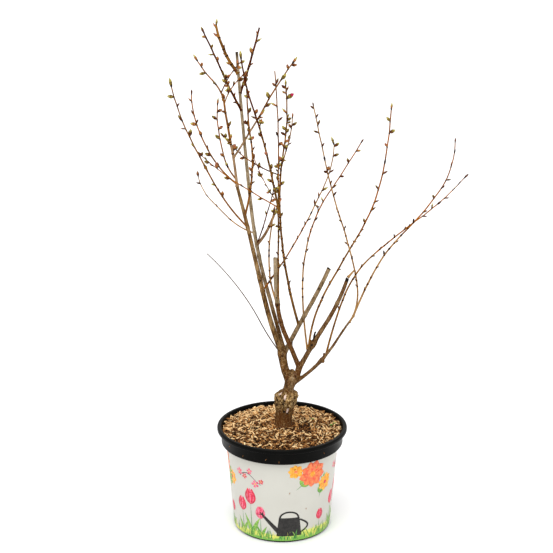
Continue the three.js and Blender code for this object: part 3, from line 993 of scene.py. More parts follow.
@dataclass(frozen=True)
class Bark:
    """Bark of the trunk and boughs, from khaki callus through brown to weathered grey.

    It reads the attributes that the bark's mesh carries: grey, rust, khaki, scar, callus, cut, hollow,
    crest and rough. The hollow attribute is painted shade in the relief's hollows, the crest attribute a painted
    highlight on its crests, and the scar attribute also carries painted shade in the knob's crease.
    """

    brown: Colour = tone(122, 86, 44)
    brown_deep: Colour = tone(54, 32, 11)
    grey: Colour = tone(170, 150, 121)
    grey_deep: Colour = tone(104, 87, 60)
    khaki: Colour = tone(170, 131, 76)
    khaki_deep: Colour = tone(56, 33, 10)
    # Painted shade at the bark's outline
    rust: Colour = tone(86, 47, 20)
    edge: Colour = tone(66, 42, 20)
    # Painted shade in the relief's hollows
    hollow: Colour = tone(36, 20, 7)
    # Painted highlight on the relief's crests
    crest_highlight: Colour = tone(222, 194, 142)
    lenticel: Colour = tone(44, 29, 18)
    scar: Colour = tone(34, 26, 20)
    callus: Colour = tone(230, 206, 194)
    cut_wood: Colour = tone(186, 164, 130)
    cut_ring: Colour = tone(48, 44, 36)

    def material(self) -> Material:
        """Makes the material.

        Returns:
            The material.
        """
        nodes = Nodes("cherry_bark")
        along = nodes.noise(2.4, 5.0, (1.0, 1.0, 7.0))
        fine = nodes.noise(0.9, 4.0, (1.0, 1.0, 3.0))
        blotch = nodes.noise(14.0, 4.0, (1.0, 1.0, 2.2))
        freckle = nodes.noise(1.5, 2.0, (2.2, 2.2, 0.8))
        mottle = nodes.noise(2.3, 3.0, (1.0, 1.0, 1.2), 0.6)
        rough = nodes.attribute("rough")
        share = (along * 0.5 + fine * 0.2 + blotch * 0.3).rise(0.37, 0.62)
        brown = nodes.blend(share, self.brown_deep, self.brown)
        grey = nodes.blend(share, self.grey_deep, self.grey)
        khaki = nodes.blend(share, self.khaki_deep, self.khaki)
        uneven = blotch - 0.5
        skin = nodes.blend((nodes.attribute("khaki") + uneven * 0.7).rise(0.15, 0.85), brown, khaki)
        skin = nodes.blend((nodes.attribute("grey") + uneven * 0.8).rise(0.15, 0.85), skin, grey)
        streaks = nodes.noise(5.0, 4.0, (1.0, 1.0, 8.0))
        rusty = (streaks - 0.62 + nodes.attribute("rust") * 0.3).rise(0.0, 0.14)
        skin = nodes.blend(rusty * 0.65, skin, self.rust)
        skin = nodes.blend(freckle.rise(0.62, 0.7) * 0.55, skin, self.lenticel)
        # Painted highlight where the mottle raises the bump, and painted shade where it sinks it
        skin = nodes.blend(mottle.rise(0.56, 0.64) * rough * 0.9, skin, self.crest_highlight)
        skin = nodes.blend((1.0 - mottle.rise(0.38, 0.47)) * rough * 0.9, skin, self.hollow)
        # Painted shade: darker towards the outline, where the bark turns from the eye
        skin = nodes.blend(nodes.facing().rise(0.3, 0.95) * 0.6, skin, self.edge)
        # Painted shade in the mesh's hollows and painted highlight on its crests
        skin = nodes.blend(nodes.attribute("hollow") * 0.95, skin, self.hollow)
        skin = nodes.blend(nodes.attribute("crest_highlight") * 0.7, skin, self.crest_highlight)
        skin = nodes.blend((nodes.attribute("callus") + (fine - 0.5) * 2.4).rise(0.42, 0.56), skin, self.callus)
        cut = nodes.attribute("cut")
        wood = nodes.blend((cut + (fine - 0.5) * 0.4).rise(0.45, 0.7), self.cut_wood, self.cut_ring)
        skin = nodes.blend(cut.rise(0.02, 0.06), skin, wood)
        # Dark scars, snags and dead ends, with painted shade in the knob's crease
        skin = nodes.blend((nodes.attribute("scar") + (fine - 0.5) * 0.3).rise(0.25, 0.7), skin, self.scar)
        relief = along * 0.6 + fine * 0.25 + freckle * 0.25 + mottle * rough
        return nodes.finish({
            "Base Color": skin,
            "Roughness": along * 0.2 + 0.65,
            "Specular IOR Level": 0.03,
            "Normal": nodes.bump(relief, 0.9, 0.9),
        })


@dataclass(frozen=True)
class YoungBark:
    """Smooth bark of young shoots, with fine lengthwise streaks and pale dots."""

    rind: Rind
    dot: Colour = tone(170, 146, 114)

    def material(self) -> Material:
        """Makes the material.

        Returns:
            The material.
        """
        nodes = Nodes(f"young_bark_{self.rind.title}")
        light, deep = self.rind.tones()
        streaks = nodes.noise(1.1, 4.0, (1.0, 1.0, 9.0))
        patches = nodes.noise(16.0, 3.0, (1.0, 1.0, 1.5))
        dots = nodes.noise(1.0, 1.0, (1.4, 1.4, 1.0))
        skin = nodes.blend((streaks * 0.5 + patches * 0.5).rise(0.36, 0.63), deep, light)
        return nodes.finish({
            "Base Color": nodes.blend(dots.rise(0.7, 0.78) * 0.4, skin, self.dot),
            "Roughness": streaks * 0.2 + 0.55,
            "Specular IOR Level": 0.01,
            "Normal": nodes.bump(streaks * 0.7 + dots * 0.3, 0.2, 0.6),
        })


class BudTint(Palette):
    """The colours of bud scales."""

    DARK = (52, 27, 13), (26, 13, 5)
    CHESTNUT = (112, 58, 26), (58, 27, 10)
    ORANGE = (188, 126, 68), (112, 62, 27)
    PINK = (192, 122, 88), (124, 64, 40)
    OLIVE = (156, 134, 60), (84, 62, 22)
    LIME = (208, 194, 104), (136, 122, 50)
    CRIMSON = (200, 40, 84), (150, 22, 58)


@dataclass(frozen=True)
class BudSkin:
    """The skin of a bud's scales, streaked towards the tip, with dark specks and painted shade darkening its
    outline.
    """

    tint: BudTint
    # Colour of the dark specks, and of the painted shade at the outline
    speck_and_outline_shade: Colour = tone(44, 25, 10)
    roughness: float = 0.42

    def material(self) -> Material:
        """Makes the material.

        Returns:
            The material.
        """
        nodes = Nodes(f"bud_{self.tint.title}")
        light, deep = self.tint.tones()
        streaks = nodes.noise(1.3, 3.0, (1.0, 1.0, 3.0))
        specks = nodes.noise(2.2, 2.0)
        skin = nodes.blend(streaks.rise(0.36, 0.64), deep, light)
        skin = nodes.blend(specks.rise(0.54, 0.64) * 0.75, skin, self.speck_and_outline_shade)
        return nodes.finish({
            # Painted shade: darker where the bud turns from the eye
            "Base Color": nodes.blend(nodes.facing().rise(0.35, 0.95) * 0.8, skin, self.speck_and_outline_shade),
            "Roughness": streaks * 0.15 + self.roughness,
            "Specular IOR Level": 0.08,
            "Normal": nodes.bump(streaks, 0.25, 0.6),
        })


@dataclass(frozen=True)
class SproutLeaf:
    """The fresh green of a weed's seed leaves."""

    light: Colour = tone(120, 170, 60)
    deep: Colour = tone(58, 112, 34)

    def material(self) -> Material:
        """Makes the material.

        Returns:
            The material.
        """
        nodes = Nodes("sprout_leaf")
        veins = nodes.noise(1.5, 2.0).rise(0.35, 0.65)
        return nodes.finish({"Base Color": nodes.blend(veins, self.deep, self.light), "Roughness": 0.5})


# Shapes turned on the pot's axis


def turned(name: str, outline: Sequence[Pair], sides: int, ring: bool = False) -> Object:
    """Turns an outline round the pot's axis, by extruding a circle from station to station.

    Args:
        name: The object's name.
        outline: Radius and height of each station in millimetres. A filled shape starts and ends as a
            disc, and a ring shape ends on its first station.
        sides: How many sides the circle has.
        ring: Whether the shape is open in its middle.

    Returns:
        The object, its place in its mesh and its faces pointing outwards.
    """
    deselect()
    radius, height = outline[0]
    bpy.ops.mesh.primitive_circle_add(
        vertices=sides, radius=radius * MM, fill_type="NOTHING" if ring else "NGON")
    piece = bpy.context.object
    piece.name = name
    bpy.ops.object.mode_set(mode="EDIT")
    bpy.ops.mesh.select_all(action="SELECT")
    bpy.ops.transform.translate(value=(0.0, 0.0, height * MM))
    for next_radius, next_height in outline[1:]:
        bpy.ops.mesh.extrude_region_move(
            TRANSFORM_OT_translate={"value": (0.0, 0.0, (next_height - height) * MM)})
        scale = next_radius / radius
        bpy.ops.transform.resize(value=(scale, scale, 1.0))
        radius, height = next_radius, next_height
    bpy.ops.mesh.select_all(action="SELECT")
    bpy.ops.mesh.remove_doubles(threshold=0.01 * MM)
    bpy.ops.mesh.normals_make_consistent(inside=False)
    bpy.ops.object.mode_set(mode="OBJECT")
    return piece


@dataclass
class Pot:
    """The round nursery pot: a stepped band under a flat flange, and drain holes in its floor."""

    flange_radius: float = 140.0
    flange_depth: float = 9.0
    mouth_radius: float = 133.0
    mouth_ease: float = 1.6
    lip: float = 3.0
    lip_ease: float = 1.05
    edge_ease: float = 1.0
    sides: int = 144
    drain_count: int = 8
    drain_circle: float = 74.0
    drain_radius: float = 7.0
    drain_sides: int = 24
    bevel: float = 0.7
    bevel_angle: float = 25.0
    shading_angle: float = 28.0

    def outline(self) -> list[Pair]:
        """Lists the stations of the wall.

        Returns:
            Radius and height of each, from the underside round the flange to the inner floor.
        """
        flange_bottom = POT_HEIGHT - self.flange_depth
        ease = self.edge_ease
        return [
            (BASE_RADIUS - BASE_CORNER, 0.0),
            (BASE_RADIUS, BASE_CORNER),
            (BODY_TOP_RADIUS, BAND_BOTTOM),
            (BAND_RADIUS - ease, BAND_BOTTOM),
            (BAND_RADIUS, BAND_BOTTOM + ease),
            (BAND_RADIUS, flange_bottom),
            (self.flange_radius - ease, flange_bottom),
            (self.flange_radius, flange_bottom + ease),
            (self.flange_radius, POT_HEIGHT - self.lip),
            (self.flange_radius - self.lip_ease, POT_HEIGHT - self.lip_ease),
            (self.flange_radius - self.lip, POT_HEIGHT),
            (self.mouth_radius, POT_HEIGHT),
            (self.mouth_radius - self.mouth_ease, POT_HEIGHT - self.mouth_ease),
            (BAND_RADIUS - POT_WALL, flange_bottom),
            (BAND_RADIUS - POT_WALL, BAND_BOTTOM + POT_WALL),
            (BODY_TOP_RADIUS - POT_WALL, BAND_BOTTOM + POT_WALL),
            (BASE_RADIUS - POT_WALL, POT_FLOOR + POT_WALL),
            (BASE_RADIUS - BASE_CORNER, POT_FLOOR),
        ]

    def cutter(self) -> Object:
        """Makes the pegs that cut the drain holes.

        Returns:
            The pegs, as one object.
        """
        stock = Stock()
        for i in range(self.drain_count):
            angle = 2.0 * math.pi * (i + 0.5) / self.drain_count
            foot = polar(self.drain_circle, angle, -2.0 * POT_FLOOR)
            centres = np.array([foot, foot + UP * 4.0 * POT_FLOOR])
            stock.add(*tube(centres, UP, np.full(2, self.drain_radius), self.drain_sides))
        return stock.piece("drain_cutter", [])

    def build(self) -> None:
        """Builds and dresses the pot."""
        pot = turned("pot_shell", self.outline(), self.sides)
        apply_modifier(pot, "BEVEL", {
            "width": self.bevel * MM, "segments": 2, "limit_method": "ANGLE",
            "angle_limit": math.radians(self.bevel_angle)})
        cutter = self.cutter()
        apply_modifier(pot, "BOOLEAN", {"operation": "DIFFERENCE", "object": cutter, "solver": "EXACT"})
        bpy.data.objects.remove(cutter)
        smooth_by_angle(pot, self.shading_angle)
        dress(pot, "pot", ["pot"], SatinPlastic().material())


def body_radius(height: float) -> float:
    """Gives the radius of the pot's body at a height."""
    share = (height - BASE_CORNER) / (BAND_BOTTOM - BASE_CORNER)
    return BASE_RADIUS + (BODY_TOP_RADIUS - BASE_RADIUS) * share


@dataclass
class Sleeve:
    """The printed film round the pot's body, with a generic meadow and flower print.

    A turn is in degrees round the pot, and 0 faces the viewer. Motifs are drawn about a turn and a height,
    in millimetres to the right and up.
    """

    bottom: float = 4.5
    top: float = 191.0
    thickness: float = 0.5
    sides: int = 144
    rows: int = 14
    shading_angle: float = 40.0
    ink_lift: float = 0.06
    ink_step: float = 0.004
    ink_layers: int = 40
    ink_thickness: float = 0.08
    blade_steps: int = 8
    panels: int = 3
    tufts: int = 34
    tuft_blades: int = 6
    stock: Stock = field(default_factory=Stock)
    draw: Draw = field(default_factory=lambda: Draw(4021))
    layer: int = 0

    def build(self) -> None:
        """Builds and dresses the film and its print."""
        heights = [self.bottom + (self.top - self.bottom) * i / self.rows for i in range(self.rows + 1)]
        outside = [(self.outer_radius(h), h) for h in heights]
        inside = [(body_radius(h) + GAP, h) for h in reversed(heights)]
        film = turned("sleeve_film", [*outside, *inside, outside[0]], self.sides, ring=True)
        smooth_by_angle(film, self.shading_angle)
        dress(film, "label", ["label_sleeve"], PrintedFilm().material())
        self.print_all_round()
        inlays = self.stock.piece("sleeve_print", [Ink(shade).material() for shade in InkShade])
        apply_modifier(inlays, "SOLIDIFY", {"thickness": self.ink_thickness * MM, "offset": -1.0})
        dress(inlays, "label")

    def outer_radius(self, height: float) -> float:
        """Gives the radius of the film's outside at a height."""
        return body_radius(height) + GAP + self.thickness

    def stroke(self, turn: float, height: float, line: Sequence[Pair], widths: Sequence[float], ink: InkShade,
               columns: int = 2) -> None:
        """Prints a stroke of varying width, draped over the film.

        Args:
            turn: The turn that it is drawn about.
            height: The height that it is drawn about.
            line: Points of its middle line.
            widths: Its full width at each point.
            ink: Its colour.
            columns: How many faces it has across.
        """
        self.layer += 1
        lift = self.ink_lift + self.ink_step * (self.layer % self.ink_layers)
        middle = np.array(line, float)
        ahead = np.gradient(middle, axis=0)
        sideways = unit(np.stack([-ahead[:, 1], ahead[:, 0]], axis=1))
        points = []
        for centre, side, width in zip(middle, sideways, widths):
            for j in range(columns + 1):
                right, rise = centre - side * width * (j / columns - 0.5)
                angle = math.radians(turn + math.degrees(right / self.outer_radius(height)) - 90.0)
                points.append(polar(self.outer_radius(height + rise) + lift, angle, height + rise))
        row = columns + 1
        faces = [[i * row + j, i * row + j + 1, (i + 1) * row + j + 1, (i + 1) * row + j]
                 for i in range(len(middle) - 1) for j in range(columns)]
        self.stock.add(np.array(points), faces, ink.slot)

    def blade(self, turn: float, height: float, start: Pair, direction: float, length: float,
              width: float, ink: InkShade, bend: float = 0.0, fullest: float = 0.5) -> None:
        """Prints a leaf, petal or blade of grass.

        Args:
            turn: The turn that it is drawn about.
            height: The height that it is drawn about.
            start: Its root.
            direction: Its direction in degrees, 90 upwards.
            length: Its length.
            width: Its greatest width.
            ink: Its colour.
            bend: How far its direction changes towards its tip, in degrees.
            fullest: Where it is widest, from 0 at the root to 1 at the tip.
        """
        root_share, tip_share = 0.12, 0.06
        line, widths = [start], [root_share * width]
        step = length / self.blade_steps
        for i in range(1, self.blade_steps + 1):
            share = i / self.blade_steps
            heading = math.radians(direction + bend * share)
            x, y = line[-1]
            line.append((x + math.cos(heading) * step, y + math.sin(heading) * step))
            swell = math.sin(math.pi * share ** (math.log(0.5) / math.log(fullest)))
            widths.append(max(width * swell, tip_share * width))
        self.stroke(turn, height, line, widths, ink)

    def daisy(self, turn: float, height: float, radius: float, petals: int,
              inks: tuple[InkShade, InkShade]) -> None:
        """Prints a flower of broad petals round an eye.

        Args:
            turn: The turn of its middle.
            height: The height of its middle.
            radius: Its radius.
            petals: How many petals it has.
            inks: The colours of its petals and its eye.
        """
        spin = self.draw.between(0.0, 360.0 / petals)
        for i in range(petals):
            length = radius * self.draw.between(0.86, 1.08)
            bend = self.draw.between(-14.0, 14.0)
            self.blade(turn, height, (0.0, 0.0), spin + 360.0 * i / petals, length, radius * 0.62,
                       inks[0], bend, 0.66)
        eye_radius, half = radius * 0.2, 4
        eye = [(eye_radius * (i / half - 1.0), 0.0) for i in range(2 * half + 1)]
        widths = [max(2.0 * math.sqrt(max(eye_radius ** 2 - x * x, 0.0)), 0.2) for x, _ in eye]
        self.stroke(turn, height, eye, widths, inks[1])

    def leaf_spray(self, turn: float, height: float, direction: float, length: float, pairs: int) -> None:
        """Prints a spray of paired leaves along a straight stem.

        Args:
            turn: The turn of its root.
            height: The height of its root.
            direction: Its direction in degrees, 90 upwards.
            length: Its length.
            pairs: How many pairs of leaves it has.
        """
        heading = math.radians(direction)
        right, rise = math.cos(heading) * length, math.sin(heading) * length
        self.blade(turn, height, (0.0, 0.0), direction, length, 1.4, InkShade.MEADOW, 0.0, 0.3)
        for i in range(pairs):
            share = (i + 1.0) / (pairs + 0.5)
            size = length * (0.42 - 0.2 * share)
            for side in (-1.0, 1.0):
                lean = side * self.draw.between(38.0, 56.0)
                self.blade(turn, height, (right * share, rise * share), direction + lean, size, size * 0.42,
                           InkShade.LEAF, -side * 18.0, 0.45)
        self.blade(turn, height, (right, rise), direction, length * 0.24, length * 0.1, InkShade.LEAF, 0.0, 0.45)

    def grass(self, turn: float) -> None:
        """Prints a tuft of grass that rises out of the meadow.

        Args:
            turn: The turn of its root.
        """
        inks = (InkShade.MEADOW, InkShade.LEAF, InkShade.STRAW)
        for _ in range(self.tuft_blades):
            ink = inks[int(self.draw.next() * len(inks))]
            start, direction = (self.draw.between(-9.0, 9.0), 0.0), self.draw.between(66.0, 114.0)
            length, width = self.draw.between(13.0, 30.0), self.draw.between(1.4, 2.6)
            bend = self.draw.between(-28.0, 28.0)
            self.blade(turn, self.bottom + 2.0, start, direction, length, width, ink, bend, 0.35)

    def watering_can(self, turn: float, height: float, size: float) -> None:
        """Prints a plain black watering can as a flat shape.

        Args:
            turn: The turn of its middle.
            height: The height of its foot.
            size: The width of its body.
        """
        tall = size * 0.82
        arc = [math.pi * i / 10.0 for i in range(11)]
        body = [(0.0, tall * i / 6.0) for i in range(7)]
        self.stroke(turn, height, body, [size * (1.0 - 0.2 * i / 6.0) for i in range(7)], InkShade.BLACK, 8)
        spout = [(-size * (0.38 + 0.095 * i), tall * (0.2 + 0.13 * i)) for i in range(8)]
        self.stroke(turn, height, spout, [size * (0.2 - 0.014 * i) for i in range(8)], InkShade.BLACK)
        end_x, end_y = spout[-1]
        rose = [(end_x - size * (0.02 * i), end_y + tall * 0.028 * i) for i in range(5)]
        self.stroke(turn, height, rose, [size * (0.1 + 0.07 * i) for i in range(5)], InkShade.BLACK)
        side_handle = [
            (size * (0.42 + 0.34 * math.sin(a)), tall * (0.12 + 0.076 * i)) for i, a in enumerate(arc)]
        self.stroke(turn, height, side_handle, [size * 0.075] * len(arc), InkShade.BLACK)
        top_handle = [(size * 0.36 * math.cos(a), tall * (0.98 + 0.34 * math.sin(a))) for a in arc]
        self.stroke(turn, height, top_handle, [size * 0.07] * len(arc), InkShade.BLACK)

    def tulip(self, turn: float, rise: float, size: float, inks: tuple[InkShade, InkShade]) -> None:
        """Prints a tulip on a stem with two long leaves.

        Args:
            turn: The turn of its root.
            rise: The height of its head's foot.
            size: The height of its head.
            inks: The colours of its outer and inner petals.
        """
        foot = self.bottom + 3.0
        for lean in (-16.0, 14.0):
            direction = 90.0 + lean + self.draw.between(-4.0, 4.0)
            self.blade(turn, foot, (0.0, 0.0), direction, 0.62 * rise, 0.13 * rise, InkShade.LEAF, lean, 0.35)
        self.blade(turn, foot, (0.0, 0.0), 90.0, rise - foot + 2.0, 1.8, InkShade.MEADOW, 0.0, 0.3)
        for lean, ink in ((0.0, inks[1]), (-19.0, inks[0]), (19.0, inks[0])):
            self.blade(turn, rise, (0.0, 0.0), 90.0 + 1.3 * lean, size, 0.5 * size, ink, -1.6 * lean, 0.42)

    def blossom_twig(self, turn: float, height: float) -> None:
        """Prints a thin dark twig with pink blossoms along it.

        Args:
            turn: The turn of its root.
            height: The height of its root.
        """
        line = [(i * 7.0, 11.0 * math.sin(i * 0.55)) for i in range(9)]
        self.stroke(turn, height, line, [1.9 - 0.15 * i for i in range(9)], InkShade.BLACK)
        rose, crimson = (InkShade.ROSE, InkShade.AMBER), (InkShade.CRIMSON, InkShade.AMBER)
        blossoms = (
            (9.0, 9.0, rose), (-8.0, 7.0, crimson), (7.0, 8.0, rose), (-9.0, 9.5, rose), (8.0, 6.5, crimson))
        for (x, y), (lift, radius, inks) in zip(line[::2], blossoms):
            right = math.degrees(x / self.outer_radius(height))
            self.daisy(turn + right, height + y + lift, radius, 5, inks)

    def panel(self, middle: float) -> None:
        """Prints one panel of the design.

        Args:
            middle: The turn of its middle.
        """
        coral, amber, rose, crimson = InkShade.CORAL, InkShade.AMBER, InkShade.ROSE, InkShade.CRIMSON
        self.leaf_spray(middle + 15.0, 126.0, 38.0, 62.0, 4)
        self.leaf_spray(middle + 44.0, 96.0, 78.0, 46.0, 4)
        self.daisy(middle + 33.0, 158.0, 31.0, 9, (coral, amber))
        self.daisy(middle + 52.0, 128.0, 20.0, 8, (amber, crimson))
        self.daisy(middle + 14.0, 170.0, 17.0, 8, (amber, coral))
        self.tulip(middle - 50.0, 62.0, 34.0, (crimson, rose))
        self.tulip(middle - 37.0, 84.0, 38.0, (crimson, rose))
        self.tulip(middle - 25.0, 54.0, 30.0, (rose, crimson))
        self.tulip(middle + 47.0, 42.0, 26.0, (crimson, rose))
        self.blossom_twig(middle - 50.0, 146.0)
        self.watering_can(middle + 8.0, 16.0, 54.0)

    def print_all_round(self) -> None:
        """Prints the panels and the grass all round the film."""
        for i in range(self.panels):
            self.panel(360.0 * i / self.panels)
        for i in range(self.tufts):
            self.grass(360.0 * (i + self.draw.between(-0.3, 0.3)) / self.tufts)


# Mulch


def mulch_height(radius: float) -> float:
    """Gives the height of the mulch's mound.

    Args:
        radius: The distance from the pot's axis.

    Returns:
        The height.
    """
    if radius < MULCH_CREST_RADIUS:
        return MULCH_SEAT_HEIGHT + (MULCH_CREST_HEIGHT - MULCH_SEAT_HEIGHT) * radius / MULCH_CREST_RADIUS
    share = (radius - MULCH_CREST_RADIUS) / (BAND_RADIUS - POT_WALL - MULCH_CREST_RADIUS)
    return MULCH_CREST_HEIGHT + (MULCH_EDGE_HEIGHT - MULCH_CREST_HEIGHT) * share


def laid(points: Array, yaw: float, pitch: float, roll: float, place: Array) -> Array:
    """Turns and moves the points of something that lies along X.

    Args:
        points: The points, one in each row.
        yaw: Its turn round Z, in radians.
        pitch: How far its end is raised, in radians.
        roll: Its turn round its own length, in radians.
        place: Where its middle comes to lie.

    Returns:
        The new points.
    """
    return points @ np.array(Euler((roll, -pitch, yaw)).to_matrix()).T + place


@dataclass
class MulchBed:
    """Potting soil under a bed of shredded wood chips, with crumbs that cling to the pot.

    Clinging crumbs are listed by their turn in degrees, their height and their size.
    """

    chips: int = 4700
    chip_seed: int = 733
    crumbs: int = 1500
    crumb_seed: int = 917
    sprout_seed: int = 55
    trunk_clear: float = 19.5
    trunk_ring: float = 3.0
    edge_clear: float = 1.2
    chip_lengths: Pair = (7.0, 13.0)
    splinter: float = 8.0
    chip_widths: Pair = (1.5, 2.8)
    thickness: float = 1.1
    tilt: Pair = (14.0, 28.0)
    bed_sunk: float = 3.4
    bed_rise: float = 5.4
    crumb_sizes: Pair = (1.0, 3.0)
    soil_sunk: float = 3.2
    soil_rings: int = 22
    soil_sides: int = 96
    soil_lump: float = 7.0
    soil_relief: float = 1.2
    shading_angle: float = 50.0
    dark_spot: Pair = (46.0, -4.0)
    dark_spot_radius: float = 30.0
    # How fast the chips turn paler towards the back: painted light
    painted_light_slope: float = 0.0015
    shade_limits: tuple[float, ...] = (0.3, 0.46, 0.64, 0.82)
    clinging: tuple[Place, ...] = (
        (-58.0, 208.0, 4.0), (-39.0, 200.0, 3.0), (-15.0, 203.0, 3.4), (-3.0, 199.0, 4.2),
        (42.0, 205.0, 3.0), (13.0, 176.0, 4.6), (8.0, 120.0, 4.0), (27.0, 78.0, 3.4),
        (150.0, 204.0, 3.6), (205.0, 201.0, 3.2), (118.0, 90.0, 3.4))
    sprouts: tuple[tuple[float, float, int], ...] = ((106.0, 3.0, 4), (113.0, 14.0, 3), (67.0, 29.0, 3))

    def build(self) -> None:
        """Builds and dresses soil, chips, crumbs and sprouts."""
        self.build_soil()
        woods = [ChipWood(shade).material() for shade in Wood]
        self.build_chips(woods)
        self.build_crumbs(woods)
        self.build_sprouts()

    def build_soil(self) -> None:
        """Builds the soil: a fill that follows the inside of the pot, rough on top."""
        clear = POT_WALL + GAP
        ledge = BAND_BOTTOM + clear
        edge = BAND_RADIUS - clear
        radii = [edge * (1.0 - i / self.soil_rings) for i in range(self.soil_rings)]
        outline = [
            (BASE_RADIUS - BASE_CORNER - GAP, POT_FLOOR + GAP),
            (BASE_RADIUS - clear, POT_FLOOR + clear),
            (BODY_TOP_RADIUS - clear, ledge),
            (edge, ledge),
            *((radius, mulch_height(radius) - self.soil_sunk) for radius in radii),
        ]
        soil = turned("soil", outline, self.soil_sides)
        for vertex in soil.data.vertices:
            place = vertex.co / MM
            if place.z > MULCH_EDGE_HEIGHT - 2.0 * self.soil_sunk and math.hypot(place.x, place.y) < edge - 1.0:
                vertex.co.z += self.soil_relief * MM * spotted(*(place / self.soil_lump))
        smooth_by_angle(soil, self.shading_angle)
        dress(soil, "mulch", ["mulch"], PottingSoil().material())

    def damp(self, x: float, y: float) -> float:
        """Gives how bare and damp the mulch is at a place, from 0 to 1: only beside the trunk."""
        reach = math.hypot(x - self.dark_spot[0], 0.8 * (y - self.dark_spot[1]))
        return max(0.0, 1.0 - reach / self.dark_spot_radius)

    def wood_for(self, draw: Draw, x: float, y: float, layer: float) -> int:
        """Chooses a shade of wood: darker low down as painted shade between the chips, paler towards the back as
        painted light, and darker in the damp patch beside the trunk.

        Args:
            draw: The stream of numbers.
            x: The place to the right.
            y: The place to the back.
            layer: How high it lies, from 0 to 1.

        Returns:
            The index of the shade.
        """
        # Random patches, and paler towards the back as painted light
        drift = 0.3 * spotted(x / 6.0, y / 6.0, 8.0) - 0.1 - self.painted_light_slope * y
        # Darker low in the bed: painted shade between the chips
        shade = draw.next() + 0.4 * (1.0 - layer) + 0.3 * self.damp(x, y) + drift
        return sum(shade > limit for limit in self.shade_limits)

    def chip(self, draw: Draw, length: float, width: float, thickness: float) -> Shape:
        """Makes one splintered chip that lies along X.

        Args:
            draw: The stream of numbers.
            length: Its length.
            width: Its width.
            thickness: Its thickness.

        Returns:
            The points and the faces.
        """
        stations = (-0.5, draw.between(-0.25, -0.1), draw.between(0.1, 0.25), 0.5)
        girths = (draw.between(0.2, 0.7), 1.0, draw.between(0.7, 1.0), draw.between(0.15, 0.6))
        corners = ((-1.0, -1.0), (1.0, -1.0), (1.0, 1.0), (-1.0, 1.0))
        bow = draw.between(-0.5, 0.9) * 0.5 * length
        sweep = draw.between(-0.45, 0.45) * length
        points = []
        for station, girth in zip(stations, girths):
            arch = 0.25 - station * station
            half, rise = 0.5 * width * girth, 0.5 * thickness * (0.5 + 0.5 * girth)
            for side, up in corners:
                points.append((station * length + draw.between(-0.06, 0.06) * length,
                               side * half + sweep * arch + draw.between(-0.12, 0.12) * width,
                               up * rise + bow * arch))
        return np.array(points), ring_faces(len(stations), len(corners))

    def build_chips(self, woods: list[Material]) -> None:
        """Builds the chips, from the lowest to the highest.

        Args:
            woods: The shades of wood.
        """
        draw, stock = Draw(self.chip_seed), Stock()
        limit = BAND_RADIUS - POT_WALL - self.edge_clear
        for i in range(self.chips):
            layer = i / self.chips
            length = draw.between(*self.chip_lengths) + self.splinter * draw.next() ** 3
            width = draw.between(*self.chip_widths) * (1.3 if draw.next() < 0.2 else 1.0)
            yaw, around = draw.turn(), draw.turn()
            reach = math.sqrt(draw.next()) * limit
            radius = min(reach, limit - 0.5 * length * abs(math.cos(yaw - around)))
            radius = max(radius, self.trunk_clear + draw.between(0.0, self.trunk_ring))
            x, y, _ = polar(radius, around)
            if radius <= self.trunk_clear + self.trunk_ring:
                x += TRUNK_FOOT[0]
            tilt = math.radians(self.tilt[0] + self.tilt[1] * layer)
            if layer > 0.35 and self.damp(x, y) * 0.7 > draw.next():
                continue
            lumps = 2.0 * spotted(x / 15.0, y / 15.0, 0.5)
            z = mulch_height(radius) - self.bed_sunk + self.bed_rise * layer ** 1.5
            z += lumps + draw.between(-1.0, 1.0)
            pitch, roll = draw.between(-tilt, tilt), draw.between(-tilt, tilt)
            points, faces = self.chip(draw, length, width, self.thickness * draw.between(0.6, 1.5))
            points = laid(points, yaw, pitch, roll, np.array([x, y, z]))
            stock.add(points, faces, self.wood_for(draw, x, y, layer))
        dress(stock.piece("wood_chips", woods, smooth=False), "mulch")

    def build_crumbs(self, woods: list[Material]) -> None:
        """Builds the fines among the chips, and the few that cling to the pot's band and sleeve.

        Args:
            woods: The shades of wood.
        """
        draw, stock = Draw(self.crumb_seed), Stock()
        limit = BAND_RADIUS - POT_WALL - self.edge_clear - 1.0
        for _ in range(self.crumbs):
            around = draw.turn()
            radius = self.trunk_clear + (limit - self.trunk_clear) * math.sqrt(draw.next())
            size = draw.between(*self.crumb_sizes)
            x, y, _ = polar(radius, around)
            z = mulch_height(radius) + draw.between(-1.5, 2.6) + 1.6 * spotted(x / 17.0, y / 17.0, 0.5)
            points, faces = self.chip(draw, size, size * 0.6, size * 0.4)
            yaw, pitch, roll = draw.between(0.0, 6.3), draw.between(-0.6, 0.6), draw.between(-0.6, 0.6)
            points = laid(points, yaw, pitch, roll, np.array([x, y, z]))
            stock.add(points, faces, self.wood_for(draw, x, y, draw.next()))
        for turn, height, size in self.clinging:
            wall = BAND_RADIUS if height > BAND_BOTTOM else body_radius(height) + GAP + 0.5
            angle = math.radians(turn - 90.0)
            points, faces = self.chip(draw, size, size * 0.45, 0.8)
            points = laid(points, 0.0, math.radians(draw.between(50.0, 110.0)), 0.0, np.zeros(3))
            points = laid(points, angle + math.pi / 2.0, 0.0, 0.0, polar(wall + GAP, angle, height))
            stock.add(points, faces, Wood.AMBER.slot)
        dress(stock.piece("wood_crumbs", woods, smooth=False), "mulch")

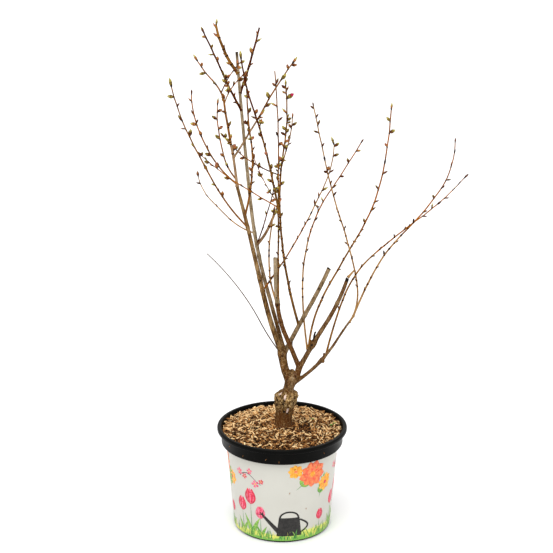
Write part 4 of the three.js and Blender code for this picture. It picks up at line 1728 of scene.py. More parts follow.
    def build_sprouts(self) -> None:
        """Builds the three tiny weeds that have come up between the chips."""
        leaf_length, leaf_lean, flattening = 4.2, 58.0, 0.8
        stations, radii = np.array([0.0, 0.3, 0.65, 1.0]), np.array([0.25, 1.3, 1.5, 0.2])
        draw, stock = Draw(self.sprout_seed), Stock()
        for x, y, leaves in self.sprouts:
            foot = np.array([x, y, mulch_height(math.hypot(x, y)) - 1.0])
            top = foot + np.array([0.4, 0.2, draw.between(4.0, 6.0)])
            stock.add(*tube(np.array([foot, top]), UP, np.array([0.45, 0.35]), 6))
            for i in range(leaves):
                heading = leaning(UP, 360.0 * i / leaves + draw.between(0.0, 40.0), leaf_lean)
                points, faces = tube(top + np.outer(stations * leaf_length, heading), heading, radii, 8)
                normal = unit(np.cross(heading, np.cross(UP, heading)))
                points -= np.outer((points - top) @ normal, normal) * flattening
                stock.add(points, faces)
        dress(stock.piece("sprouts", [SproutLeaf().material()]), "mulch")


# Trunk and boughs


@dataclass(frozen=True)
class Mark:
    """A mark on a limb's bark: where it is along the limb and round it, how long and how wide.

    A knot's width is the share by which it swells the limb.
    """

    limb: str
    at: float
    turn: float
    length: float
    width: float


def marks(rows: dict[str, Sequence[Sequence[float]]]) -> list[Mark]:
    """Makes marks of rows that are gathered by limb."""
    return [Mark(limb, *row) for limb, group in rows.items() for row in group]


SCARS = marks({
    "stem_left": ((55, -95, 5, 3.4), (45, -155, 4, 3)),
    "bough_outer_left": ((185, -80, 4, 2.6), (170, -85, 5, 3.2), (90, -150, 4, 2.4), (25, -80, 3.4, 2.4)),
    "bough_crossing": ((155, -95, 6.5, 5), (115, -85, 4.4, 3)),
    "stub_upright": ((10, -110, 4.5, 3),),
    "stub_inner_right": ((155, -105, 4.4, 3), (90, -40, 4, 3)),
    "stub_outer_right": ((200, -120, 4, 2.6), (165, -40, 4, 3), (60, -110, 7, 6), (70, -150, 4, 4)),
    "bough_low_right": ((75, -80, 2.4, 3),),
    "trunk": ((40, -95, 7, 7), (35, -70, 4, 6), (120, -50, 12, 2.6), (110, -135, 8, 3.4), (70, -40, 5, 4),
              (55, -150, 6, 4), (60, 70, 9, 2.6)),
    "bough_leader": ((215, -120, 4, 2.6), (330, 60, 4, 2.6), (120, 100, 4.4, 3)),
})

FULLNESS = {
    "stem_left": (1.28, 1.22), "stem_right": (1.22, 1.16), "stub_upright": (1.44, 1.36),
    "bough_crossing": (1.38, 1.22), "bough_leader": (1.1, 1.36), "bough_low_right": (1.1, 1.05),
    "bough_outer_left": (1.1, 1.12), "stub_outer_right": (1.04, 1.2), "stub_inner_right": (1.03, 1.14),
    "stub_outer_right_snag": (1.1, 1.1),
}

DEAD_ENDS = {
    "bough_leader": (610, 645, 0.6), "stub_outer_right": (215, 219, 0.95), "stub_inner_right": (199, 202, 0.7),
    "stub_upright": (93, 94.5, 0.45),
}

KNOTS = marks({
    "bough_low_right": ((0, 0, 26, 0.22), (80, 0, 9, 0.55), (65, 0, 22, 0.12)),
    "stub_outer_right": ((62, 0, 9, 0.46), (165, 0, 3, 0.16)),
    "bough_crossing": ((155, 0, 5, 0.3), (115, 0, 4, 0.16)),
    "bough_leader": ((215, 0, 5, 0.2), (240, 0, 6, 0.1), (265, 0, 4, 0.16)),
    "bough_outer_left": ((175, 0, 8, 0.14), (145, 0, 5, 0.14), (290, 0, 5, 0.16)),
    "stub_inner_right": ((90, 0, 4, 0.14),),
    "stem_left": ((60, 0, 9, 0.12),),
})

CALLUSES = marks({"trunk": ((78, -140, 6, 7), (74, -98, 11, 5), (43, -76, 13, 5), (63, 110, 9, 6))})

LUMPS = marks({
    "trunk": ((66, -160, 9, 8), (60, -130, 8, 7), (68, -55, 9, 10), (60, -20, 8, 8), (54, -75, 7, 6),
              (72, -20, 7, 7), (64, 35, 9, 9), (66, 95, 9, 9), (57, 140, 9, 8), (125, 180, 8, 6)),
    "stub_outer_right": ((60, 175, 8, 4.4), (52, 185, 7, 3)),
    "bough_low_right": ((92, 175, 7, 2.2), (80, -15, 4.5, 3.6)),
})

WORN = marks({"trunk": ((116, -80, 12, 8), (98, -85, 24, 6))})


@dataclass(frozen=True)
class Spots:
    """Where points of the bark lie, each array with a value for each point.

    It says on which limb, how far along and how far round that in degrees, how far from its middle, and
    the limb's radius there.
    """

    limb: Array
    at: Array
    turn: Array
    away: Array
    radius: Array

    def marked(self, listed: Sequence[Mark]) -> Array:
        """Tells how strongly each point lies in one of the marks.

        Args:
            listed: The marks.

        Returns:
            The strength, from 0 to 1.
        """
        strength = np.zeros(len(self.at))
        for mark in listed:
            sideways = np.radians(swing(self.turn - mark.turn)) * self.radius / (0.5 * mark.width)
            lengthways = (self.at - mark.at) / (0.5 * mark.length)
            near = np.exp(-(sideways ** 2 + lengthways ** 2))
            strength = np.maximum(strength, np.where(self.limb == mark.limb, near, 0.0))
        return strength


@dataclass
class Bole:
    """The trunk with its graft knob, the stems, boughs, stubs and snags, as one skin of bark."""

    paths: dict[str, Path]
    voxel: float = 0.9
    knob_height: float = 62.0
    knob_spread: float = 22.0
    knob_core: float = 19.0
    foot: Pair = (22.0, 46.0)
    neck: Pair = (78.0, 88.0)
    crease_turn: float = -104.0
    crease_wander: float = 11.0
    crease_height: float = 56.0
    crease_reach: float = 15.0
    crease_width: float = 3.0
    crease_depth: float = 2.8
    trunk_sides: int = 48
    trunk_spacing: float = 2.0
    trunk_sunk: float = 2.0
    limb_sides: int = 16
    limb_spacing: float = 3.0
    lump_sides: int = 12
    lump_rings: int = 7
    station_spacing: float = 2.5

    def trunk_radius(self, distance: float, angle: Array) -> Array:
        """Works out the trunk's radius, with the graft knob's lobes.

        Args:
            distance: The height on the trunk.
            angle: The angles round it, in radians.

        Returns:
            The radius at each angle.
        """
        lobes = 1.1 * np.cos(3.0 * angle + distance / 14.0) + 0.7 * np.cos(5.0 * angle - distance / 9.0)
        swell = bell(distance - self.knob_height, self.knob_spread)
        return np.interp(distance, TRUNK_STATIONS, TRUNK_RADII) + swell * lobes

    def limb_radius(self, name: str, distance: float) -> float:
        """Works out a limb's radius: flared at its root, ridged here and there, and swollen at knots.

        Args:
            name: The limb.
            distance: The distance along it.

        Returns:
            The radius.
        """
        record = BARK_LIMBS[name]
        share = min(max(distance / record.length, 0.0), 1.0)
        radius = 0.5 * stationed(FULLNESS.get(name, (1.0,)), share) * stationed(record.thick, share)
        flare = 0.16 * math.exp(-max(distance, 0.0) / 9.0)
        ridge = 0.05 * bell(distance % 37.0 - 18.0, 2.4)
        knots = sum(mark.width * bell(distance - mark.at, mark.length) for mark in KNOTS if mark.limb == name)
        return radius * (1.0 + flare + ridge + knots)

    def trunk_tube(self) -> Shape:
        """Makes the trunk's tube, with level rings.

        Returns:
            The points and the faces.
        """
        distances = np.arange(0.0, TRUNK_LENGTH + 0.1, self.trunk_spacing)
        centres, _ = self.paths["trunk"].frames(distances)
        centres[0, 2] -= self.trunk_sunk
        angles = round_angles(self.trunk_sides)
        radii = np.array([self.trunk_radius(d, angles) for d in distances])
        return tube(centres, UP, radii, self.trunk_sides)

    def limb_tube(self, name: str, record: Limb) -> Shape:
        """Makes a limb's tube, with its cut end sloping.

        Args:
            name: The limb.
            record: What is known of it.

        Returns:
            The points and the faces.
        """
        count = max(int(record.length / self.limb_spacing), 3)
        distances = np.linspace(0.0, record.length, count + 1)
        centres, headings = self.paths[name].frames(distances)
        radii = np.array([self.limb_radius(name, d) for d in distances])
        points, faces = tube(centres, headings, radii, self.limb_sides)
        if record.cut:
            rim = points[-self.limb_sides:]
            offset = (rim - centres[-1]) @ across(headings[-1])[0]
            points[-self.limb_sides:] = rim - np.outer(np.abs(offset + radii[-1]) * record.slant, headings[-1])
        return points, faces

    def lump(self, mark: Mark) -> Shape:
        """Makes a rounded swelling on the trunk or a limb.

        Args:
            mark: Its place, half its height and half its width.

        Returns:
            The points and the faces.
        """
        path = self.paths[mark.limb]
        if mark.limb == "trunk":
            turn = math.radians(mark.turn)
            radius = self.trunk_radius(mark.at, turn) - 0.72 * mark.width
            out = polar(1.0, turn)
        else:
            radius = self.limb_radius(mark.limb, mark.at) - 0.3 * mark.width
            out = leaning(path.heading(mark.at), mark.turn, 90.0)
        shares = np.cos(np.pi * (np.arange(self.lump_rings) + 0.5) / self.lump_rings)
        centres = path.at(mark.at) + out * radius - np.outer(shares, UP * mark.length)
        return tube(centres, UP, mark.width * np.sqrt(1.0 - shares ** 2), self.lump_sides)

    def build(self) -> None:
        """Builds and dresses the bark."""
        stock = Stock()
        stock.add(*self.trunk_tube())
        for mark in LUMPS:
            stock.add(*self.lump(mark))
        for name, record in BARK_LIMBS.items():
            stock.add(*self.limb_tube(name, record))
        bark = stock.piece("bark", [])
        apply_modifier(bark, "REMESH", {"mode": "VOXEL", "voxel_size": self.voxel * MM, "use_smooth_shade": True})
        apply_modifier(bark, "SMOOTH", {"factor": 0.5, "iterations": 3})
        self.carve(bark.data)
        make_active(bark)
        bpy.ops.object.shade_smooth()
        dress(bark, "bark", ["trunk", *LIMBS], Bark().material())

    def located(self, points: Array) -> Spots:
        """Finds for each point the limb it lies on, from samples along every limb.

        Args:
            points: Points in millimetres, one in each row.

        Returns:
            The places.
        """
        samples = []
        for name in ("trunk", *BARK_LIMBS):
            path, trunk = self.paths[name], name == "trunk"
            for d in np.arange(0.0, path.length + 0.1, self.station_spacing):
                radius = np.interp(d, TRUNK_STATIONS, TRUNK_RADII) if trunk else self.limb_radius(name, d)
                samples.append((name, d, path.at(d), UP if trunk else path.heading(d), radius))
        limb, at, centre, heading, radius = (np.array(column) for column in zip(*samples))
        chunk = 4000
        nearest = np.concatenate([
            np.argmin(np.linalg.norm(points[i:i + chunk, None, :] - centre, axis=2) - radius, axis=1)
            for i in range(0, len(points), chunk)])
        offset, ahead = points - centre[nearest], heading[nearest]
        right, back = (np.sum(offset * side, axis=1) for side in across(ahead))
        return Spots(limb[nearest], at[nearest] + np.sum(offset * ahead, axis=1),
                     np.degrees(np.arctan2(back, right)), np.hypot(right, back), radius[nearest])

    def relief(self, spots: Spots, knob: Array, rough: Array) -> Array:
        """Works out the fissures and lenticels, and the knob's lumps, folds and crumbs.

        Args:
            spots: Where the points lie.
            knob: How far each belongs to the knob.
            rough: How rough each is.

        Returns:
            How far each point stands out.
        """
        turn = np.radians(spots.turn)
        ring = np.stack([np.cos(turn), np.sin(turn)], axis=1) * np.minimum(spots.radius, 26.0)[:, None]
        relief = np.zeros(len(ring))
        for i, ((x, y), z) in enumerate(zip(ring, spots.at)):
            fissures = spotted(x * 0.42, y * 0.42, z * 0.07 + 3.0)
            lenticels = spotted(x * 0.16, y * 0.16, z * 0.62 + 40.0)
            relief[i] = rough[i] * fissures + 0.56 * max(lenticels - 0.25, 0.0)
            if knob[i] > 0.01:
                lumps = spotted(x * 0.13, y * 0.13, z * 0.15)
                folds = spotted(x * 0.22, y * 0.22, z * 0.5 - 0.1 * x + 9.0)
                crumbs = spotted(x * 0.55, y * 0.55, z * 0.55)
                relief[i] += knob[i] * (2.1 * lumps + 1.7 * folds + 1.4 * crumbs)
        return relief

    def crease(self, spots: Spots) -> Array:
        """Works out the deep, wandering crease down the front of the knob.

        Args:
            spots: Where the points lie.

        Returns:
            How deep each point lies in it, from 0 to 1.
        """
        wander = self.crease_wander * np.array([spotted(0.0, 7.0, z * 0.11) for z in spots.at])
        around = np.radians(swing(spots.turn - self.crease_turn - wander))
        ends = np.exp(-((spots.at - self.crease_height) / self.crease_reach) ** 4)
        return bell(around * spots.radius, self.crease_width) * ends * (spots.limb == "trunk")

    def softened(self, mesh: Mesh, values: Array) -> Array:
        """Smooths values over a mesh, so that limbs of different colours merge.

        Args:
            mesh: The mesh.
            values: A value for each of its points.

        Returns:
            The smoothed values.
        """
        edges = np.zeros(2 * len(mesh.edges), int)
        mesh.edges.foreach_get("vertices", edges)
        edges = edges.reshape(-1, 2)
        start, end = np.concatenate([edges, edges[:, ::-1]]).T
        share = np.maximum(np.bincount(start, minlength=len(values)), 1)
        for _ in range(8):
            values = 0.5 * (values + np.bincount(start, weights=values[end], minlength=len(values)) / share)
        return values

    def carve(self, mesh: Mesh) -> None:
        """Gives the bark its relief and the attributes that its finish reads.

        Args:
            mesh: The bark's mesh.
        """
        points, normals = (np.zeros(3 * len(mesh.vertices)) for _ in range(2))
        mesh.vertices.foreach_get("co", points)
        mesh.vertices.foreach_get("normal", normals)
        points = points.reshape(-1, 3) / MM
        spots = self.located(points)
        trunk = spots.limb == "trunk"
        neck = smooth_step(spots.at, *self.neck) * trunk
        knob = np.exp(-((spots.at - self.knob_height) / self.knob_core) ** 4) * trunk
        scar, callus, crease = spots.marked(SCARS), spots.marked(CALLUSES), self.crease(spots)
        relief = self.relief(spots, knob, np.where(trunk, 0.75 - 0.4 * neck, 0.22))
        # Painted shade in the relief's hollows, weaker on the neck, and painted highlight on its crests
        hollow = np.clip(-relief / np.where(trunk, 1.2, 0.6) - 0.08, 0.0, 1.0) * (1.0 - 0.6 * neck)
        crest_highlight = np.clip(relief / np.where(trunk, 1.8, 1.1) - 0.35, 0.0, 1.0)
        relief += 0.7 * callus - 0.5 * scar - self.crease_depth * crease
        points += normals.reshape(-1, 3) * relief[:, None]
        mesh.vertices.foreach_set("co", (points * MM).astype(np.float32).ravel())
        tints = self.tints(spots, knob, neck)
        tints["crest_highlight"] *= crest_highlight
        tints = {name: self.softened(mesh, values) for name, values in tints.items()}
        # The scar attribute also carries painted shade in the knob's crease
        tints.update(hollow=hollow, callus=callus, cut=self.cuts(spots), scar=self.darkened(spots, scar, crease))
        for name, values in tints.items():
            attribute = mesh.attributes.new(name, "FLOAT", "POINT")
            attribute.data.foreach_set("value", values.astype(np.float32))
        mesh.update()

    def tints(self, spots: Spots, knob: Array, neck: Array) -> dict[str, Array]:
        """Works out how grey, rusty, khaki and rough the bark is, and how strong the painted highlight on its
        crests is.

        Args:
            spots: Where the points lie.
            knob: How far each belongs to the knob.
            neck: How far each belongs to the neck above it.

        Returns:
            The values of each attribute.
        """
        trunk, stems = spots.limb == "trunk", np.isin(spots.limb, ["stem_left", "stem_right"])
        foot = (1.0 - smooth_step(spots.at, *self.foot)) * trunk
        grey, rust, khaki = 0.18 - 0.18 * foot + 0.12 * neck, 0.25 + 0.75 * foot, 0.95 * knob
        for name, record in BARK_LIMBS.items():
            chosen = spots.limb == name
            grey[chosen], rust[chosen], khaki[chosen] = record.grey, record.rust, record.khaki
        grey = np.maximum(grey, 0.6 * spots.marked(WORN))
        grey += 0.6 * smooth_step(spots.at, 60.0, 280.0) * (spots.limb == "bough_leader")
        rough = np.where(trunk, 0.22 + 0.78 * knob, np.where(stems, 0.3, 0.16))
        return {"grey": grey, "rust": rust, "khaki": khaki, "rough": rough, "crest_highlight": 1.0 - 0.6 * foot}

    def cuts(self, spots: Spots) -> Array:
        """Marks the cut ends of the stubs, stronger towards their rims.

        Args:
            spots: Where the points lie.

        Returns:
            The strength, 0 on bark.
        """
        cut = np.zeros(len(spots.at))
        for name, record in BARK_LIMBS.items():
            if record.cut:
                reach = record.length - record.slant * record.thick[1] * 0.5 - 0.8
                inner = spots.away < 0.95 * spots.radius + 0.4
                ends = (spots.limb == name) & (spots.at > reach) & inner
                cut[ends] = 0.08 + 0.9 * (spots.away[ends] / spots.radius[ends]) ** 2
        return cut

    def darkened(self, spots: Spots, scar: Array, crease: Array) -> Array:
        """Adds the snags, painted shade in the crease and the dead ends to what is dark as a scar.

        Args:
            spots: Where the points lie.
            scar: How far each lies in a scar.
            crease: How far each lies in the crease.

        Returns:
            The strength, from 0 to 1.
        """
        # Scars, snags and dead ends, and painted shade in the crease
        dark = np.maximum.reduce([scar, 0.8 * np.isin(spots.limb, list(SNAGS)), 0.6 * crease])
        for name, (start, end, strength) in DEAD_ENDS.items():
            dark = np.maximum(dark, (spots.limb == name) * smooth_step(spots.at, start, end) * strength)
        return dark


# Crown: twigs and buds


@dataclass(frozen=True)
class Node:
    """A node of a shoot: how far along it is, which way it faces, its share of size, and whether it
    bears a spur or is one of the smaller nodes between."""

    distance: float
    turn: float
    size: float
    spur: bool
    fine: bool = False


@dataclass(frozen=True)
class BudForm:
    """A kind of bud: its width as a share of its length, and its outline in tiers of scales.

    A station is a share of the length, a share of the half width and the tier of scales it belongs to.
    """

    width: float
    stations: tuple[tuple[float, float, int], ...]
    points: int


class BudKind(Enum):
    """The kinds of bud on the tree."""

    DORMANT = BudForm(0.46, (
        (0.0, 0.5, 0), (0.2, 0.9, 0), (0.4, 1.0, 0), (0.42, 0.92, 1), (0.66, 0.74, 1), (0.86, 0.4, 1),
        (1.0, 0.05, 1)), 2)
    SLIM = BudForm(0.34, (
        (0.0, 0.45, 0), (0.12, 0.66, 0), (0.32, 0.86, 0), (0.34, 0.8, 1), (0.5, 1.0, 1), (0.64, 0.9, 1),
        (0.66, 0.8, 3), (0.84, 0.5, 3), (1.0, 0.06, 3)), 2)
    PLUMP = BudForm(0.55, (
        (0.0, 0.28, 0), (0.14, 0.38, 0), (0.3, 0.7, 0), (0.32, 0.74, 1), (0.46, 1.0, 1), (0.58, 0.98, 1),
        (0.6, 0.92, 2), (0.74, 0.78, 2), (0.76, 0.7, 3), (0.9, 0.4, 3), (1.0, 0.08, 3)), 3)


class BudDress(Enum):
    """The colours of a bud's four tiers of scales, from its base to its tip."""

    GREEN = (BudTint.DARK, BudTint.OLIVE, BudTint.OLIVE, BudTint.LIME)
    MIXED = (BudTint.DARK, BudTint.CHESTNUT, BudTint.OLIVE, BudTint.LIME)
    OLIVE = (BudTint.DARK, BudTint.CHESTNUT, BudTint.OLIVE, BudTint.OLIVE)
    AMBER = (BudTint.DARK, BudTint.CHESTNUT, BudTint.ORANGE, BudTint.ORANGE)
    STRAW = (BudTint.DARK, BudTint.ORANGE, BudTint.ORANGE, BudTint.LIME)
    PINK = (BudTint.DARK, BudTint.ORANGE, BudTint.PINK, BudTint.PINK)
    BROWN = (BudTint.DARK, BudTint.CHESTNUT, BudTint.CHESTNUT, BudTint.CHESTNUT)
    BLACK = (BudTint.DARK, BudTint.DARK, BudTint.DARK, BudTint.CHESTNUT)
    OPENING = (BudTint.DARK, BudTint.OLIVE, BudTint.OLIVE, BudTint.CRIMSON)


@dataclass(frozen=True)
class SeenBud:
    """A bud that the photograph shows clearly: where it is along its shoot, the side and the lean of
    it in degrees (0 is to the viewer's right, 180 to the left), its length, kind and colours."""

    at: float
    turn: float
    lean: float
    length: float
    kind: BudKind
    dress: BudDress


GREEN, MIXED, OLIVE, AMBER, STRAW, PINK, BROWN, BLACK, OPENING = BudDress
DORMANT, SLIM, PLUMP = BudKind
SEEN_BUDS = {
    "top_left": (
        (185, -90, 3, 15, SLIM, OLIVE), (175, 195, 48, 9, PLUMP, STRAW), (150, -20, 42, 9, PLUMP, OLIVE),
        (135, 190, 66, 12, SLIM, GREEN), (120, -30, 30, 11, PLUMP, AMBER), (90, -40, 24, 8, DORMANT, GREEN),
        (70, 205, 30, 12, PLUMP, GREEN), (65, -30, 44, 10, PLUMP, AMBER), (60, 170, 60, 9, PLUMP, STRAW),
        (50, 200, 60, 12, PLUMP, GREEN), (35, -10, 38, 11, SLIM, AMBER), (20, 190, 56, 9, DORMANT, BROWN)),
    "top_middle": (
        (110, -30, 22, 14, SLIM, GREEN), (105, 205, 20, 12, SLIM, PINK), (85, 195, 34, 15, SLIM, PINK),
        (60, -20, 34, 9, DORMANT, BROWN), (45, 200, 26, 9, SLIM, AMBER), (25, 190, 40, 11, PLUMP, STRAW)),
    "top_right": (
        (125, 200, 28, 9, SLIM, PINK), (110, -10, 42, 14, SLIM, GREEN), (85, 200, 34, 14, PLUMP, STRAW),
        (60, -10, 40, 11, SLIM, AMBER)),
    "centre_curved": (
        (325, -60, 6, 17, SLIM, GREEN), (290, -10, 30, 11, SLIM, PINK), (270, 200, 40, 11, PLUMP, OLIVE),
        (245, 190, 50, 12, PLUMP, MIXED), (210, -20, 40, 12, PLUMP, AMBER), (200, 190, 44, 12, SLIM, OLIVE)),
    "outer_left_fork_side": (
        (70, -30, 24, 12, PLUMP, GREEN), (60, -10, 62, 11, PLUMP, STRAW), (65, 190, 40, 9, PLUMP, PINK),
        (50, -30, 50, 9, PLUMP, BROWN)),
    "outer_left_fork": (
        (100, -60, 4, 15, SLIM, STRAW), (85, -30, 46, 11, PLUMP, AMBER), (70, 190, 62, 13, PLUMP, GREEN),
        (40, -90, 30, 9, PLUMP, OLIVE)),
    "low_left": (
        (175, -60, 8, 12, PLUMP, AMBER), (160, 190, 60, 9, DORMANT, BROWN), (130, 190, 12, 5, DORMANT, BROWN),
        (100, -10, 16, 5, DORMANT, BROWN), (60, 190, 14, 5, DORMANT, BROWN)),
    "far_left": (
        (375, -60, 4, 19, SLIM, GREEN), (350, 190, 62, 13, PLUMP, GREEN), (330, -10, 50, 8, DORMANT, BROWN),
        (295, 210, 12, 16, SLIM, OLIVE), (275, 190, 62, 10, SLIM, AMBER), (230, 210, 14, 11, SLIM, GREEN),
        (205, -10, 40, 10, DORMANT, BROWN)),
    "outer_left_low": (
        (220, -60, 8, 11, SLIM, BROWN), (205, 190, 36, 10, SLIM, AMBER), (160, -20, 42, 9, DORMANT, OLIVE),
        (155, 190, 54, 13, PLUMP, STRAW), (130, -60, 16, 13, PLUMP, AMBER)),
    "outer_left_back": (
        (160, -60, 4, 14, SLIM, STRAW), (145, -10, 58, 11, PLUMP, AMBER), (130, 190, 52, 13, PLUMP, OLIVE),
        (110, -10, 62, 11, PLUMP, PINK), (90, 190, 36, 13, PLUMP, GREEN)),
    "outer_left": (
        (155, 190, 60, 9, PLUMP, AMBER), (125, -20, 36, 15, SLIM, OLIVE), (95, 190, 44, 15, SLIM, GREEN),
        (100, -20, 24, 11, PLUMP, STRAW), (90, 190, 70, 8, PLUMP, GREEN)),
    "outer_left_diagonal": (
        (225, -90, 4, 16, SLIM, STRAW), (220, -20, 52, 12, PLUMP, AMBER), (210, 175, 46, 10, PLUMP, PINK),
        (185, -60, 14, 15, PLUMP, GREEN), (140, 190, 50, 14, PLUMP, GREEN), (100, -40, 14, 17, SLIM, STRAW),
        (95, -10, 48, 11, SLIM, AMBER), (60, 190, 40, 12, PLUMP, MIXED)),
    "centre": (
        (475, -20, 26, 13, SLIM, OLIVE), (470, 195, 40, 10, PLUMP, AMBER), (430, 190, 56, 15, SLIM, STRAW),
        (400, -15, 48, 13, SLIM, BROWN), (370, 200, 24, 10, DORMANT, BLACK), (350, -20, 46, 11, PLUMP, AMBER)),
    "centre_right": (
        (520, -60, 10, 14, SLIM, GREEN), (515, 200, 44, 11, PLUMP, BROWN), (510, -20, 30, 11, SLIM, AMBER),
        (505, 190, 56, 9, PLUMP, STRAW), (495, -20, 58, 18, PLUMP, OPENING), (465, 190, 42, 14, SLIM, STRAW),
        (455, -20, 24, 11, SLIM, GREEN), (450, -30, 54, 12, PLUMP, OLIVE), (445, 10, 74, 9, PLUMP, GREEN),
        (430, 190, 44, 12, PLUMP, GREEN), (425, -50, 34, 12, PLUMP, OLIVE), (420, 195, 62, 12, PLUMP, BROWN),
        (405, -10, 46, 11, PLUMP, PINK), (395, 190, 36, 13, SLIM, PINK), (315, -10, 44, 12, PLUMP, MIXED)),
    "centre_right_back": (
        (100, -60, 6, 12, SLIM, PINK), (85, -10, 50, 12, PLUMP, OLIVE), (80, 190, 40, 10, PLUMP, AMBER)),
    "front_right": (
        (520, -60, 6, 9, SLIM, BROWN), (515, 195, 36, 9, DORMANT, BROWN), (495, -10, 42, 9, DORMANT, AMBER),
        (460, 190, 52, 12, SLIM, OLIVE), (430, -10, 40, 9, DORMANT, BROWN), (400, -80, 10, 9, DORMANT, BLACK),
        (375, -30, 34, 12, PLUMP, AMBER), (370, 200, 44, 9, PLUMP, BROWN), (345, -10, 34, 9, SLIM, BROWN)),
    "across": (
        (345, 200, 22, 17, SLIM, GREEN), (340, -10, 50, 13, PLUMP, MIXED), (320, -10, 60, 13, PLUMP, OLIVE),
        (285, -20, 40, 12, SLIM, BROWN), (245, -10, 36, 14, SLIM, GREEN), (230, 200, 30, 10, SLIM, AMBER)),
    "back_right": (
        (480, -60, 4, 11, SLIM, BROWN), (460, -10, 48, 10, PLUMP, STRAW), (430, 190, 46, 10, PLUMP, OLIVE),
        (395, -10, 52, 9, PLUMP, BROWN), (365, -30, 20, 13, SLIM, OLIVE), (330, 190, 56, 11, SLIM, GREEN)),
    "right": (
        (570, -60, 4, 15, SLIM, STRAW), (545, 190, 40, 12, PLUMP, GREEN), (520, -10, 52, 13, PLUMP, MIXED),
        (490, 195, 34, 10, PLUMP, PINK), (455, -80, 10, 9, DORMANT, BLACK), (430, -10, 44, 12, SLIM, BROWN),
        (395, 190, 44, 12, SLIM, OLIVE), (365, -10, 44, 10, SLIM, BROWN)),
    "outer_right": (
        (440, -60, 4, 10, SLIM, BROWN), (420, -70, 10, 8, DORMANT, BLACK), (390, 200, 10, 10, SLIM, AMBER),
        (360, -10, 56, 10, SLIM, OLIVE), (315, 190, 50, 9, PLUMP, OLIVE), (280, -10, 30, 8, DORMANT, BROWN),
        (250, 190, 44, 9, DORMANT, BLACK)),
    "far_right": (
        (495, -60, 6, 13, SLIM, BROWN), (460, -90, 14, 9, SLIM, OLIVE), (435, -20, 40, 10, SLIM, BROWN),
        (400, 170, 44, 12, SLIM, GREEN), (375, -20, 46, 9, DORMANT, AMBER), (300, 160, 66, 8, DORMANT, BLACK)),
}
BARE_TIPS = ("top_right", "centre")
PLUMP_SHARES = {"twigs_right": 0.25, "twigs_far_right": 0.15, "twigs_outer_right": 0.15,
                "twigs_front_right": 0.5, "twigs_back_right": 0.4, "twigs_across": 0.5}


